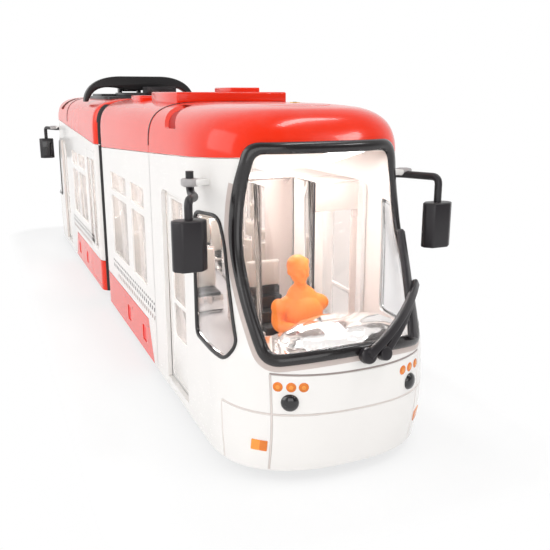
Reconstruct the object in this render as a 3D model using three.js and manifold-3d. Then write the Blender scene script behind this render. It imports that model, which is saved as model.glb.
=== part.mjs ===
// Articulated toy tram: two like cars, nose outwards, hinged where their flat ends meet.
// Millimetres, +Z up. The origin lies on the rails' plane, straight below the joint's pivot.
// Each car is drawn in its own frame: X from the joint to the nose, Y to its left, Z up.
import * as THREE from 'three';
import { mergeVertices } from 'three/addons/utils/BufferGeometryUtils.js';
import Module from 'manifold-3d';

const wasm = await Module();
wasm.setup();

// ---- Body, driving dimensions -------------------------------------------------------------
const JOINT_REACH = 8; // from the pivot to a car's flat end
const PASSENGER_LENGTH = 115.3; // from the flat end to the cab's seam
const CAB_LENGTH = 106.7; // from that seam to the nose's foremost point
const CAR_WIDTH = 74;
const BODY_BOTTOM = 4;
const CROWN_HEIGHT = 115.6;
const SHOULDER_RISE = 23.6; // height of the roof's rounded shoulder
const RED_EDGE_RISE = 4; // from the shoulder's foot up to the red roof's edge, at the cab's seam
const RED_EDGE_SLOPE = 0.05; // how fast that edge climbs towards the nose
const SHOULDER_POWER = 4.6; // superellipse of the roof's cross-section
const END_CORNER = 6; // radius of the upright corners at the joint
const LEAST_CORNER = 1; // what is left of it inside the wall
const WALL = 1.6;
const FIT = 0.3; // gap between pieces that touch
const FAR = 400; // beyond the car in every direction
const PAST = 1; // how far a cutter runs past what it cuts

const SIDE = CAR_WIDTH / 2;
const SEAM_X = JOINT_REACH + PASSENGER_LENGTH;
const NOSE_REACH = SEAM_X + CAB_LENGTH;
const CANT_HEIGHT = CROWN_HEIGHT - SHOULDER_RISE; // the upright sides end here
const ROOF_EDGE = CANT_HEIGHT + RED_EDGE_RISE;
const CAB_MIDDLE = NOSE_REACH - 60; // inside the cab, behind its windscreen

// Nose, by height: how far the middle of the front stands back, how long its curve runs
// along the side, and the power of the superellipse between the two.
const NOSE_FACE = [
  { z: BODY_BOTTOM, back: 4.6, run: 32, power: 2.5 },
  { z: 16, back: 1.8, run: 32, power: 2.5 },
  { z: 28, back: 0.3, run: 33, power: 2.4 },
  { z: 38, back: 0, run: 34, power: 2.3 },
  { z: 46, back: 1.8, run: 35, power: 2.1 },
  { z: 60, back: 7.2, run: 35, power: 2 },
  { z: 73, back: 12.2, run: 36, power: 1.9 },
  { z: 84, back: 16.4, run: 38, power: 2.1 },
];
const NOSE_CROWN = [
  { z: CANT_HEIGHT, back: 19.6, run: 40, power: 2.4 },
  { z: CROWN_HEIGHT - 11, back: 24.6, run: 46, power: 3.4 },
  { z: CROWN_HEIGHT - 5.6, back: 27.6, run: 50, power: 3.6 },
  { z: CROWN_HEIGHT - 1.6, back: 32.5, run: 54, power: 3.5 },
  { z: CROWN_HEIGHT, back: 44, run: 68, power: 3.4 },
];
const NOSE = [...NOSE_FACE.filter(({ z }) => z < CANT_HEIGHT), ...NOSE_CROWN];
const SIDE_LEVELS = NOSE.map(({ z }) => z).filter((z) => z <= CANT_HEIGHT);
const SHOULDER_ANGLES = [8, 22, 40, 55, 68, 80]; // degrees round the roof's shoulder
const NOSE_STEPS = 8;
const CORNER_STEPS = 3;

// ---- Chassis, running gear and joint ------------------------------------------------------
const PLATE_TOP = BODY_BOTTOM + 2;
const WHEEL_RADIUS = 12;
const WHEEL_WIDTH = 6;
const WHEEL_TRACK = CAR_WIDTH - 17; // between the middles of the wheels on one axle
const WHEEL_CLEARANCE = 2;
const WHEEL_HUB = { rim: 0.72, web: 0.62, dish: 1.4, boss: 1 }; // rim and web by radius
const AXLE_RADIUS = 2;
const AXLE_PLAY = 0.35;
const AXLE_BORE = AXLE_RADIUS + AXLE_PLAY;
const BOGIE = { x: SEAM_X - 13.3, base: 34 };
const AXLES = [JOINT_REACH + 26, BOGIE.x - BOGIE.base / 2, BOGIE.x + BOGIE.base / 2];
const BEARING = { width: 4, length: 10, fromWheel: 5.5, over: 5 };
const PIVOT = { pin: 2.4, play: 0.4, eye: 7, plate: 2.4, z: 8 };
const TONGUE = { half: 6, reach: JOINT_REACH * 3, foot: JOINT_REACH * 2 };
const NOTCH = { half: TONGUE.half + 3, high: PIVOT.z + 2 * PIVOT.plate + 3.2 };
const KERB = { width: 1.6, height: 3.2 };
const POST = { size: 5, y: 12 };
const POST_PLACES = [
  AXLES[0] + 18, BOGIE.x - 36, BOGIE.x + 2, NOSE_REACH - 70, NOSE_REACH - 44,
];

// ---- Inside -------------------------------------------------------------------------------
const FLOOR = { low: 2 * WHEEL_RADIUS + 1.6, thickness: 1.6, sideRoom: 4.4 };
const ON_FLOOR = FLOOR.low + FLOOR.thickness + FIT;
const SEAT = { depth: 12, height: 9, back: 2.4, backHeight: 27, rail: 1.6, pitch: 22 };
const AISLE_HALF = 9;
const SEAT_SIDE_ROOM = 6; // from the car's side to a seat
const FIRST_SEAT = JOINT_REACH + 20;
const SCREEN_BOX = {
  from: NOSE_REACH - 72, to: NOSE_REACH - 54, half: 11, wall: 1.2, high: CANT_HEIGHT - 4,
};
const DESK = { from: NOSE_REACH - 27, top: 43, half: SIDE - 10 };
const DESK_DOME = { x: DESK.from + 9, length: 13, half: DESK.half - 6, crown: 4.5, sink: 0.2 };

// ---- Skirt --------------------------------------------------------------------------------
const SKIRT_TOP = 22;
const SKIRT_END_TOP = SEAM_X - 14.3;
const SKIRT_END_LOW = SKIRT_END_TOP + 8;
const SKIRT_SLOTS = [SEAM_X - 56.8, SEAM_X - 23.8];
const SLOT = { low: 8, high: 15, width: 4, depth: 0.8, corner: 0.8 };

// ---- Openings, in a car's X and Z ---------------------------------------------------------
const SILL = 37.5;
const TRANSOM = { low: CANT_HEIGHT - 21, high: CANT_HEIGHT - 12 };
const PANE = { low: SILL, high: TRANSOM.low - 3 };
const WINDOW_POST = 10.5; // between the two windows of the right side
const LEFT_POST = 6;
const LAST_WINDOW_END = SEAM_X - 13.3;
const RIGHT_WINDOW = LAST_WINDOW_END - 26.5;
const LEFT_WINDOW = LAST_WINDOW_END - 24;
const RIGHT_WINDOWS = [
  [JOINT_REACH + 28, RIGHT_WINDOW - WINDOW_POST],
  [RIGHT_WINDOW, LAST_WINDOW_END],
];
const LEFT_WINDOWS = [
  [JOINT_REACH + 44, LEFT_WINDOW - LEFT_POST],
  [LEFT_WINDOW, LAST_WINDOW_END],
];
const DOOR_PANE = { low: SKIRT_TOP + 6, high: CANT_HEIGHT - 11, width: 11, post: 3.5 };
const FIRST_DOOR_PANE = JOINT_REACH + END_CORNER + 2.5;
const LEFT_DOOR_PANES = [0, 1].map((i) => {
  const from = FIRST_DOOR_PANE + i * (DOOR_PANE.width + DOOR_PANE.post);
  return [from, from + DOOR_PANE.width];
});
const PANE_CORNER = 1.5;
const PANE_PROUD = 1.1; // how far a pane fills the wall's thickness
const LINER = { thickness: 1, lap: 2, corner: 1 }; // sheet behind the wall that carries the panes

const DOORWAY = { from: SEAM_X + 17.7, to: SEAM_X + 46.7, high: CANT_HEIGHT - 8, corner: 3 };
const DOOR_WINDOW = {
  from: DOORWAY.from + 6.5, to: DOORWAY.to - 4, low: 27, high: DOORWAY.high - 3,
  bar: 41, barHeight: 1.4, corner: 1,
};
const DOOR_LAP = 2;
const DOOR_THICKNESS = 1.6;
const DOOR_OUTER = SIDE - WALL - FIT; // the outer face of a leaf that slides behind the wall

const CAB_WINDOW = [
  [NOSE_REACH - 47, 39],
  [NOSE_REACH - 22, 38.2],
  [NOSE_REACH - 18, 43.5],
  [NOSE_REACH - 34.5, CANT_HEIGHT - 10],
  [NOSE_REACH - 47, CANT_HEIGHT - 10],
];
const CAB_WINDOW_INNER = SIDE - 7.6; // how far from the car's middle its cut begins
const CAB_WINDOW_CORNER = 3;
const SIDE_CUT_INNER = SIDE - 16; // and that of every other cut in a side

// Windscreen, as seen from the front: the outer edge of its gasket. Its sides bulge towards
// their control point halfway up, and its lower edge rises in the middle.
const SCREEN = {
  top: CROWN_HEIGHT - 11, topHalf: SIDE - 12.5, bellyControl: SIDE - 0.8,
  low: 39.4, lowHalf: SIDE - 9.4, rise: 3,
};
const SCREEN_CORNER = { size: 6, byInset: 0.6, top: 0.3, low: 0.25, lift: 0.2, crest: 1.6 };
const GASKET_WIDTH = 3.4;
const GASKET_PROUD = 1.3;
const GASKET_LAP = 1.4; // how far the shell reaches in under the gasket
const SCREEN_THICKNESS = 1.2;

// ---- Roof gear ----------------------------------------------------------------------------
const ROOF_GEAR_HALF = SIDE - 13;
const ROOF_BOX = { from: SEAM_X - 45.3, to: SEAM_X - 2.3, high: CROWN_HEIGHT + 3.7 };
const ROOF_BOX_LID = {
  from: ROOF_BOX.from + 8, to: ROOF_BOX.to - 13, y: [3.5, 17], high: ROOF_BOX.high + 1.9,
};
const ROOF_BLOCK = { from: JOINT_REACH + 26, to: JOINT_REACH + 47, high: CROWN_HEIGHT + 2 };
const PANTOGRAPH_BASE = {
  from: JOINT_REACH + 19, to: SEAM_X - 23.3, high: CROWN_HEIGHT + 3.2,
};
const INSULATORS = {
  from: PANTOGRAPH_BASE.from + 0.5, length: 14.5, y: [-17, 0.5], high: PANTOGRAPH_BASE.high + 3.4,
};
const ARM = {
  pivotX: PANTOGRAPH_BASE.to - 16, half: 4, knuckle: 2.2, knuckleHalf: 5,
  low: PANTOGRAPH_BASE.high + 1.4, height: 3,
};
const EAR = { width: 2, length: 6, high: ARM.low + ARM.height / 2 + 2.4 };
const BOW = {
  x: JOINT_REACH + 45, half: SIDE - 2, foot: ARM.low - 6.8, top: ARM.low + 8.4,
  thickness: 2.4, depth: 7, flat: 0.35, shoulder: 12, drop: 4, web: 5, throat: 6,
};
const BELLOWS = {
  half: SIDE - 6, low: NOTCH.high + 0.6, high: CROWN_HEIGHT - 9, folds: 4, depth: 2.5, wall: 5,
};

// ---- Outside fittings ---------------------------------------------------------------------
const MIRROR_PIN = { x: NOSE_REACH - 41, y: SIDE + 2.6, above: 2.4, radius: 1.25 };
const LUG = { half: 2.8, reach: 2.6, low: CANT_HEIGHT - 1.2, high: CANT_HEIGHT + 1 };
const MIRROR = {
  x: NOSE_REACH - 26.6, y: SIDE + 7.5, high: CANT_HEIGHT - 9.4, height: 15.6,
  length: 6.5, width: 11, corner: 2, armZ: LUG.low - 2.8,
};
const WIPER = {
  hubs: [[1.9, 42], [7.7, 41.6]],
  joint: [SIDE - 11.4, 57.4],
  blade: [[SIDE - 11.1, 73], [SIDE - 15.5, 43.6]],
  armRadius: 1.1, hubRadius: 2.3, hubDepth: 2.4, lift: 4,
};

// ---- Driver figure, its places from its middle and its shoulders ---------------------------
const DRIVER = { x: NOSE_REACH - 41, shoulder: 51.5 };
const DRIVER_SEAT = { back: 5, front: 4, half: 5.5, height: 8 };
const DRIVER_HEAD = { forward: 0.6, above: 10.5, size: [4.6, 4.2, 5.6] };
const DRIVER_TORSO = { above: 4, offSeat: 2, size: [4.6, 7.6] };
const DRIVER_SHOULDERS = { under: 3.6, size: [4, 11, 4.6] };
const DRIVER_NECK = { radius: 2.2, under: 3 };
const DRIVER_ARM = { radius: 2, path: [[0, 9, -4], [1, 10.4, -11], [9, 6, -10]] };

// ---- Colours ------------------------------------------------------------------------------
const FINISH = {
  white: { color: 0xf3f1ee, roughness: 0.25, metalness: 0 },
  red: { color: 0xe02a17, roughness: 0.25, metalness: 0 },
  black: { color: 0x1c1b1d, roughness: 0.45, metalness: 0 },
  darkGrey: { color: 0x3a383b, roughness: 0.5, metalness: 0 },
  lightGrey: { color: 0xb9b6b3, roughness: 0.45, metalness: 0 },
  clear: { color: 0xe8eef0, roughness: 0.08, metalness: 0 },
  orange: { color: 0xff7d1e, roughness: 0.45, metalness: 0 },
};

// ---- Solids -------------------------------------------------------------------------------
function solid(geometry) {
  const bare = geometry.clone();
  bare.deleteAttribute('normal');
  bare.deleteAttribute('uv');
  const merged = mergeVertices(bare, 1e-4);
  const corners = merged.index.array;
  const kept = [];
  for (let i = 0; i < corners.length; i += 3) {
    const [a, b, c] = [corners[i], corners[i + 1], corners[i + 2]];
    if (a !== b && b !== c && c !== a) kept.push(a, b, c);
  }
  const triVerts = new Uint32Array(kept);
  const vertProperties = new Float32Array(merged.attributes.position.array);
  return new wasm.Manifold(new wasm.Mesh({ numProp: 3, vertProperties, triVerts }));
}

// The ends of each span may come in either order, so that one call serves both sides.
function box(...spans) {
  const [x, y, z] = spans.map((span) => [...span].sort((a, b) => a - b));
  const geometry = new THREE.BoxGeometry(x[1] - x[0], y[1] - y[0], z[1] - z[0]);
  geometry.translate((x[0] + x[1]) / 2, (y[0] + y[1]) / 2, (z[0] + z[1]) / 2);
  return solid(geometry);
}

// A flat outline pushed along one axis. Its own two axes are Y, Z for 'x', X, Z for 'y' and
// X, Y for 'z'.
function prism(axis, shape, from, to, curveSegments = 2) {
  const along = axis === 'y' ? [-to, -from] : [from, to];
  const depth = along[1] - along[0];
  const geometry = new THREE.ExtrudeGeometry(shape, { depth, bevelEnabled: false, curveSegments });
  geometry.translate(0, 0, along[0]);
  const [ex, ey, ez] = [[1, 0, 0], [0, 1, 0], [0, 0, 1]].map((v) => new THREE.Vector3(...v));
  const turn = new THREE.Matrix4();
  if (axis === 'x') turn.makeBasis(ey, ez, ex);
  if (axis === 'y') turn.makeBasis(ex, ez, ey.clone().negate());
  geometry.applyMatrix4(turn);
  return solid(geometry);
}

function polygon(points) {
  return new THREE.Shape(points.map(([u, v]) => new THREE.Vector2(u, v)));
}

// A closed outline whose corners are rounded to one radius.
function rounded(points, radius) {
  const shape = new THREE.Shape();
  points.forEach(([u, v], i) => {
    const corner = new THREE.Vector2(u, v);
    const before = new THREE.Vector2(...points.at(i - 1)).sub(corner).setLength(radius).add(corner);
    const after = new THREE.Vector2(...points[(i + 1) % points.length]).sub(corner);
    after.setLength(radius).add(corner);
    if (i === 0) shape.moveTo(before.x, before.y);
    else shape.lineTo(before.x, before.y);
    shape.quadraticCurveTo(u, v, after.x, after.y);
  });
  shape.closePath();
  return shape;
}

function rectangle(u, v, radius) {
  return rounded([[u[0], v[0]], [u[1], v[0]], [u[1], v[1]], [u[0], v[1]]], radius);
}

// An upright cylinder, or one laid along Y.
function rod(radius, from, to, x, other, axis = 'z', sides = 12) {
  const geometry = new THREE.CylinderGeometry(radius, radius, to - from, sides);
  if (axis === 'z') geometry.rotateX(Math.PI / 2).translate(x, other, (from + to) / 2);
  else geometry.translate(x, (from + to) / 2, other);
  return solid(geometry);
}

// A round rod bent along a path of straight runs with rounded corners.
function bentRod(points, radius, sides = 8) {
  const places = points.map((point) => new THREE.Vector3(...point));
  const path = new THREE.CatmullRomCurve3(places, false, 'centripetal');
  const section = new THREE.Shape().absarc(0, 0, radius, 0, Math.PI * 2);
  const steps = (points.length - 1) * 2;
  const settings = { extrudePath: path, steps, curveSegments: sides / 2, bevelEnabled: false };
  return solid(new THREE.ExtrudeGeometry(section, settings));
}

function union(pieces) {
  return pieces.reduce((whole, piece) => whole.add(piece));
}

// ---- The car's outer form, cut by every panel ---------------------------------------------
function noseAt(z) {
  const height = THREE.MathUtils.clamp(z, NOSE[0].z, NOSE.at(-1).z);
  const above = Math.max(1, NOSE.findIndex((row) => row.z >= height));
  const [low, high] = [NOSE[above - 1], NOSE[above]];
  const share = (height - low.z) / (high.z - low.z);
  const blend = (name) => low[name] + (high[name] - low[name]) * share;
  return { back: blend('back'), run: blend('run'), power: blend('power') };
}

// One level of the car's form: a ring of points round it, inset from the outer face.
function ring(z, height, halfWidth, inset) {
  const { back, run, power } = noseAt(height);
  const tip = NOSE_REACH - back - inset;
  const start = NOSE_REACH - back - run;
  const end = JOINT_REACH + inset;
  const corner = Math.max(END_CORNER - inset, LEAST_CORNER);
  const half = [];
  for (let i = 0; i <= CORNER_STEPS; i += 1) {
    const angle = (i / CORNER_STEPS) * Math.PI / 2;
    const x = end + corner - corner * Math.cos(angle);
    half.push([x, halfWidth - corner + corner * Math.sin(angle)]);
  }
  for (let i = 0; i < NOSE_STEPS; i += 1) {
    const angle = (i / NOSE_STEPS) * Math.PI / 2;
    const x = start + (tip - start) * Math.sin(angle) ** (2 / power);
    half.push([x, halfWidth * Math.cos(angle) ** (2 / power)]);
  }
  const right = half.map(([x, y]) => [x, -y]);
  return [[tip, 0], ...half.toReversed(), ...right].map(([x, y]) => [x, y, z]);
}

function loft(rings) {
  const count = rings[0].length;
  const corners = [];
  for (let level = 0; level + 1 < rings.length; level += 1) {
    for (let i = 0; i < count; i += 1) {
      const [a, b] = [level * count + i, level * count + ((i + 1) % count)];
      corners.push(a, b, b + count, a, b + count, a + count);
    }
  }
  const outline = rings[0].map(([x, y]) => new THREE.Vector2(x, y));
  const top = (rings.length - 1) * count;
  const topOutline = rings.at(-1).map(([x, y]) => new THREE.Vector2(x, y));
  for (const [a, b, c] of THREE.ShapeUtils.triangulateShape(outline, [])) corners.push(a, c, b);
  for (const [a, b, c] of THREE.ShapeUtils.triangulateShape(topOutline, [])) {
    corners.push(top + a, top + b, top + c);
  }
  const geometry = new THREE.BufferGeometry();
  geometry.setAttribute('position', new THREE.Float32BufferAttribute(rings.flat(2), 3));
  geometry.setIndex(corners);
  return solid(geometry);
}

// The whole form, its faces moved inwards by the inset, its underside at the bottom given.
function form(inset, bottom = BODY_BOTTOM) {
  const levels = SIDE_LEVELS.map((z) => (z === BODY_BOTTOM ? bottom : z));
  const rings = levels.map((z) => ring(z, z, SIDE - inset, inset));
  const rise = CROWN_HEIGHT - inset - CANT_HEIGHT;
  for (const degrees of SHOULDER_ANGLES) {
    const angle = THREE.MathUtils.degToRad(degrees);
    const up = Math.sin(angle) ** (2 / SHOULDER_POWER);
    const out = Math.cos(angle) ** (2 / SHOULDER_POWER);
    const height = CANT_HEIGHT + (CROWN_HEIGHT - CANT_HEIGHT) * up;
    rings.push(ring(CANT_HEIGHT + rise * up, height, (SIDE - inset) * out, inset));
  }
  return loft(rings);
}

const shell = form(0).subtract(form(WALL, 0));
const lining = (near, far) => form(near, 0).subtract(form(far, -PAST));
const between = (x, z) => box(x, [-FAR, FAR], z);

// ---- Panels -------------------------------------------------------------------------------
const redEdge = (x) => ROOF_EDGE + (x - SEAM_X) * RED_EDGE_SLOPE;

// A stretch of the car below the red roof's edge, and one above it.
function underEdge([from, to]) {
  const high = (x) => redEdge(x) - FIT / 2;
  return prism('y', polygon([[from, 0], [to, 0], [to, high(to)], [from, high(from)]]), -FAR, FAR);
}

function overEdge([from, to]) {
  const low = (x) => redEdge(x) + FIT / 2;
  return prism('y', polygon([[from, low(from)], [to, low(to)], [to, FAR], [from, FAR]]), -FAR, FAR);
}

// All that lies behind and below the skirt's edges, which the gap moves outwards.
function skirtArea(gap) {
  const lean = (SKIRT_END_LOW - SKIRT_END_TOP) / (SKIRT_TOP - BODY_BOTTOM);
  const endAt = (z) => SKIRT_END_TOP + gap + (SKIRT_TOP - z) * lean;
  const top = SKIRT_TOP + gap;
  const outline = polygon([[-FAR, -FAR], [endAt(-FAR), -FAR], [endAt(top), top], [-FAR, top]]);
  return prism('y', outline, -FAR, FAR);
}

// Cut on one side of the car only: side is 1 for its left and -1 for its right.
function sidePrism(shape, side, depth = [SIDE_CUT_INNER, FAR]) {
  const [from, to] = side > 0 ? depth : [-depth[1], -depth[0]];
  return prism('y', shape, from, to);
}

function tongueNotch() {
  return box([-FAR, JOINT_REACH + END_CORNER], [-NOTCH.half, NOTCH.half], [0, NOTCH.high]);
}

function windowShapes(side, grow = 0) {
  const spans = side > 0 ? LEFT_WINDOWS : RIGHT_WINDOWS;
  const openings = spans.flatMap((span) => [[span, TRANSOM], [span, PANE]]);
  if (side > 0) openings.push(...LEFT_DOOR_PANES.map((span) => [span, DOOR_PANE]));
  return openings.map(([[from, to], { low, high }]) => (
    rectangle([from - grow, to + grow], [low - grow, high + grow], PANE_CORNER)));
}

function bodyShell() {
  const cuts = [1, -1].flatMap((side) => windowShapes(side).map((shape) => sidePrism(shape, side)));
  return shell
    .intersect(underEdge([-FAR, SEAM_X - FIT / 2]))
    .subtract(skirtArea(FIT))
    .subtract(union([tongueNotch(), ...cuts]));
}

function skirt() {
  const { low, high, width, depth, corner } = SLOT;
  const slots = [1, -1].flatMap((side) => SKIRT_SLOTS.map((x) => {
    const shape = rectangle([x - width / 2, x + width / 2], [low, high], corner);
    return sidePrism(shape, side, [SIDE - depth, FAR]);
  }));
  return shell.intersect(skirtArea(0)).subtract(union([tongueNotch(), ...slots]));
}

function bodyRoof() {
  return shell.intersect(overEdge([-FAR, SEAM_X - FIT / 2]));
}

// Windscreen outline, seen from the front, drawn this far inside the gasket's outer edge.
function screenOutline(inset) {
  const [top, low] = [SCREEN.top - inset, SCREEN.low + inset];
  const [topHalf, lowHalf] = [SCREEN.topHalf - inset, SCREEN.lowHalf - inset];
  const belly = SCREEN.bellyControl - inset;
  const corner = SCREEN_CORNER.size - inset * SCREEN_CORNER.byInset;
  const topSide = topHalf + corner * SCREEN_CORNER.top;
  const lowSide = lowHalf + corner * SCREEN_CORNER.low;
  const foot = low + SCREEN.rise * SCREEN_CORNER.lift;
  const crest = low + SCREEN.rise * SCREEN_CORNER.crest;
  const middle = (top + low) / 2;
  const shape = new THREE.Shape();
  shape.moveTo(topHalf - corner, top);
  shape.lineTo(corner - topHalf, top);
  shape.quadraticCurveTo(-topHalf, top, -topSide, top - corner);
  shape.quadraticCurveTo(-belly, middle, -lowSide, low + corner);
  shape.quadraticCurveTo(-lowHalf, low, corner - lowHalf, foot);
  shape.quadraticCurveTo(0, crest, lowHalf - corner, foot);
  shape.quadraticCurveTo(lowHalf, low, lowSide, low + corner);
  shape.quadraticCurveTo(belly, middle, topSide, top - corner);
  shape.quadraticCurveTo(topHalf, top, topHalf - corner, top);
  return shape;
}

const screenPrism = (inset) => prism('x', screenOutline(inset), CAB_MIDDLE, FAR, 4);

function cabOpenings() {
  const doorway = rectangle([DOORWAY.from, DOORWAY.to], [-DOORWAY.corner, DOORWAY.high], DOORWAY.corner);
  const sideCuts = [1, -1].flatMap((side) => [
    sidePrism(doorway, side),
    sidePrism(rounded(CAB_WINDOW, CAB_WINDOW_CORNER), side, [CAB_WINDOW_INNER, FAR]),
  ]);
  return union([...sideCuts, screenPrism(GASKET_LAP)]);
}

function mirrorLug(side) {
  const { x, y, radius } = MIRROR_PIN;
  const wall = faceY(x + LUG.half, LUG.low) - WALL / 2;
  const across = [side * wall, side * (y + LUG.reach)];
  const block = box([x - LUG.half, x + LUG.half], across, [LUG.low, LUG.high]);
  return block.subtract(rod(radius + 2 * FIT, LUG.low - PAST, LUG.high + PAST, x, side * y));
}

function cabShell() {
  const walls = shell
    .intersect(underEdge([SEAM_X + FIT / 2, FAR]))
    .subtract(cabOpenings());
  return union([walls, mirrorLug(1), mirrorLug(-1)]);
}

function cabRoof() {
  return shell
    .intersect(overEdge([SEAM_X + FIT / 2, FAR]))
    .subtract(screenPrism(GASKET_LAP));
}

function windscreen() {
  return lining(FIT / 2, FIT / 2 + SCREEN_THICKNESS).intersect(screenPrism(GASKET_LAP + FIT));
}

function windscreenGasket() {
  return lining(-GASKET_PROUD, -FIT).intersect(screenPrism(0).subtract(screenPrism(GASKET_WIDTH)));
}

function sideGlazing(side) {
  const from = side > 0 ? FIRST_DOOR_PANE : RIGHT_WINDOWS[0][0];
  const to = (side > 0 ? LEFT_WINDOWS : RIGHT_WINDOWS).at(-1)[1];
  const low = side > 0 ? DOOR_PANE.low : PANE.low;
  const high = side > 0 ? DOOR_PANE.high : TRANSOM.high;
  const { thickness, lap, corner } = LINER;
  const sheet = rectangle([from - lap, to + lap], [low - lap, high + lap], corner);
  const back = SIDE - WALL - FIT;
  const panes = windowShapes(side, -FIT).map((shape) => (
    sidePrism(shape, side, [back - thickness / 2, SIDE - WALL + PANE_PROUD])));
  return union([sidePrism(sheet, side, [back - thickness, back]), ...panes]);
}

function cabGlazing(side) {
  const outline = shrunk(CAB_WINDOW, FIT, CAB_WINDOW_CORNER);
  return lining(FIT / 2, WALL - FIT / 2)
    .intersect(sidePrism(outline, side, [CAB_WINDOW_INNER + FIT, FAR]));
}

// The same outline with every edge moved inwards by a gap. Its corners run anticlockwise.
function shrunk(points, gap, corner) {
  const normal = (from, to) => {
    const along = new THREE.Vector2(to[0] - from[0], to[1] - from[1]).normalize();
    return new THREE.Vector2(-along.y, along.x);
  };
  const inner = points.map((point, i) => {
    const [before, after] = [points.at(i - 1), points[(i + 1) % points.length]];
    const [first, second] = [normal(before, point), normal(point, after)];
    const shift = first.clone().add(second).multiplyScalar(gap / (1 + first.dot(second)));
    return [point[0] + shift.x, point[1] + shift.y];
  });
  return rounded(inner, corner);
}

function cabDoor(side) {
  const whole = rectangle(
    [DOORWAY.from - DOOR_LAP, DOORWAY.to + DOOR_LAP],
    [PLATE_TOP + FIT, DOORWAY.high + DOOR_LAP],
    DOORWAY.corner,
  );
  const { from, to, low, high, bar, barHeight, corner } = DOOR_WINDOW;
  const lowPane = sidePrism(rectangle([from, to], [low, bar - barHeight / 2], corner), side);
  const highPane = sidePrism(rectangle([from, to], [bar + barHeight / 2, high], corner), side);
  return sidePrism(whole, side, [DOOR_OUTER - DOOR_THICKNESS, DOOR_OUTER])
    .subtract(lowPane)
    .subtract(highPane);
}

// ---- Chassis and running gear -------------------------------------------------------------
function wheelSlots() {
  const half = WHEEL_RADIUS + WHEEL_CLEARANCE;
  const inner = (WHEEL_TRACK - WHEEL_WIDTH) / 2 - WHEEL_CLEARANCE;
  const outer = (WHEEL_TRACK + WHEEL_WIDTH) / 2 + WHEEL_CLEARANCE;
  return union(AXLES.flatMap((x) => [1, -1].map((side) => (
    box([x - half, x + half], [side * inner, side * outer], [0, FLOOR.low])))));
}

function bearings() {
  const outer = (WHEEL_TRACK - WHEEL_WIDTH) / 2 - BEARING.fromWheel;
  const high = WHEEL_RADIUS + BEARING.over;
  const blocks = AXLES.flatMap((x) => [1, -1].map((side) => {
    const y = [side * outer, side * (outer - BEARING.width)];
    return box([x - BEARING.length / 2, x + BEARING.length / 2], y, [BODY_BOTTOM, high]);
  }));
  const bores = AXLES.map((x) => rod(AXLE_BORE, -outer - PAST, outer + PAST, x, WHEEL_RADIUS, 'y'));
  const room = AXLES.map((x) => box([x - AXLE_BORE, x + AXLE_BORE], [-FAR, FAR], [0, WHEEL_RADIUS]));
  return { blocks: union(blocks), bores: union([...bores, ...room]) };
}

function chassis(tongue) {
  const low = BODY_BOTTOM + FIT;
  const plate = form(WALL + FIT, 0).intersect(between([0, FAR], [low, PLATE_TOP]));
  const kerbY = DOOR_OUTER - DOOR_THICKNESS - FIT;
  const kerbs = [1, -1].map((side) => box(
    [SEAM_X - DOORWAY.corner, DOORWAY.to + DOOR_LAP],
    [side * kerbY, side * (kerbY - KERB.width)],
    [low, PLATE_TOP + KERB.height],
  ));
  const posts = POST_PLACES.flatMap((x) => [1, -1].map((side) => box(
    [x - POST.size / 2, x + POST.size / 2],
    [side * POST.y, side * (POST.y - POST.size)],
    [low, FLOOR.low - FIT],
  )));
  const { blocks, bores } = bearings();
  return union([plate, ...kerbs, ...posts])
    .subtract(wheelSlots())
    .add(blocks)
    .subtract(bores)
    .add(tongue);
}

// A drawbar from the pivot to the chassis, its round end over the pivot.
function drawbar(low) {
  const z = [low, low + PIVOT.plate];
  const y = [-TONGUE.half, TONGUE.half];
  const bar = box([0, TONGUE.reach], y, z);
  const foot = box([TONGUE.foot, TONGUE.reach], y, [BODY_BOTTOM + FIT, z[1]]);
  return union([rod(PIVOT.eye, ...z, 0, 0), bar, foot]);
}

// The front car's drawbar carries an eye, the rear car's a pin that hangs through it.
function eyeTongue() {
  const { z, plate, pin, play } = PIVOT;
  return drawbar(z).subtract(rod(pin + play, z - PAST, z + plate + PAST, 0, 0));
}

function pinTongue() {
  const { z, plate, pin } = PIVOT;
  const low = z + plate + FIT;
  return drawbar(low).add(rod(pin, z - PAST, low + plate, 0, 0));
}

function wheelset(x) {
  const [radius, half] = [WHEEL_RADIUS, WHEEL_WIDTH / 2];
  const { rim, web, dish, boss } = WHEEL_HUB;
  const profile = [
    [0, -half], [radius, -half], [radius, half], [radius * rim, half],
    [radius * web, half - dish], [AXLE_RADIUS + boss, half - dish], [0, half],
  ];
  const points = profile.map(([r, y]) => new THREE.Vector2(r, y));
  const wheels = [1, -1].map((side) => {
    const geometry = new THREE.LatheGeometry(points, 18);
    if (side < 0) geometry.rotateZ(Math.PI);
    return solid(geometry.translate(x, side * WHEEL_TRACK / 2, radius));
  });
  const axle = rod(AXLE_RADIUS, -WHEEL_TRACK / 2, WHEEL_TRACK / 2, x, radius, 'y', 10);
  return union([...wheels, axle]);
}

// ---- Inside -------------------------------------------------------------------------------
function floorPan() {
  const half = SIDE - FLOOR.sideRoom;
  const z = [FLOOR.low, FLOOR.low + FLOOR.thickness];
  return form(FLOOR.sideRoom, 0).intersect(box([0, FAR], [-half, half], z));
}

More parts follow.
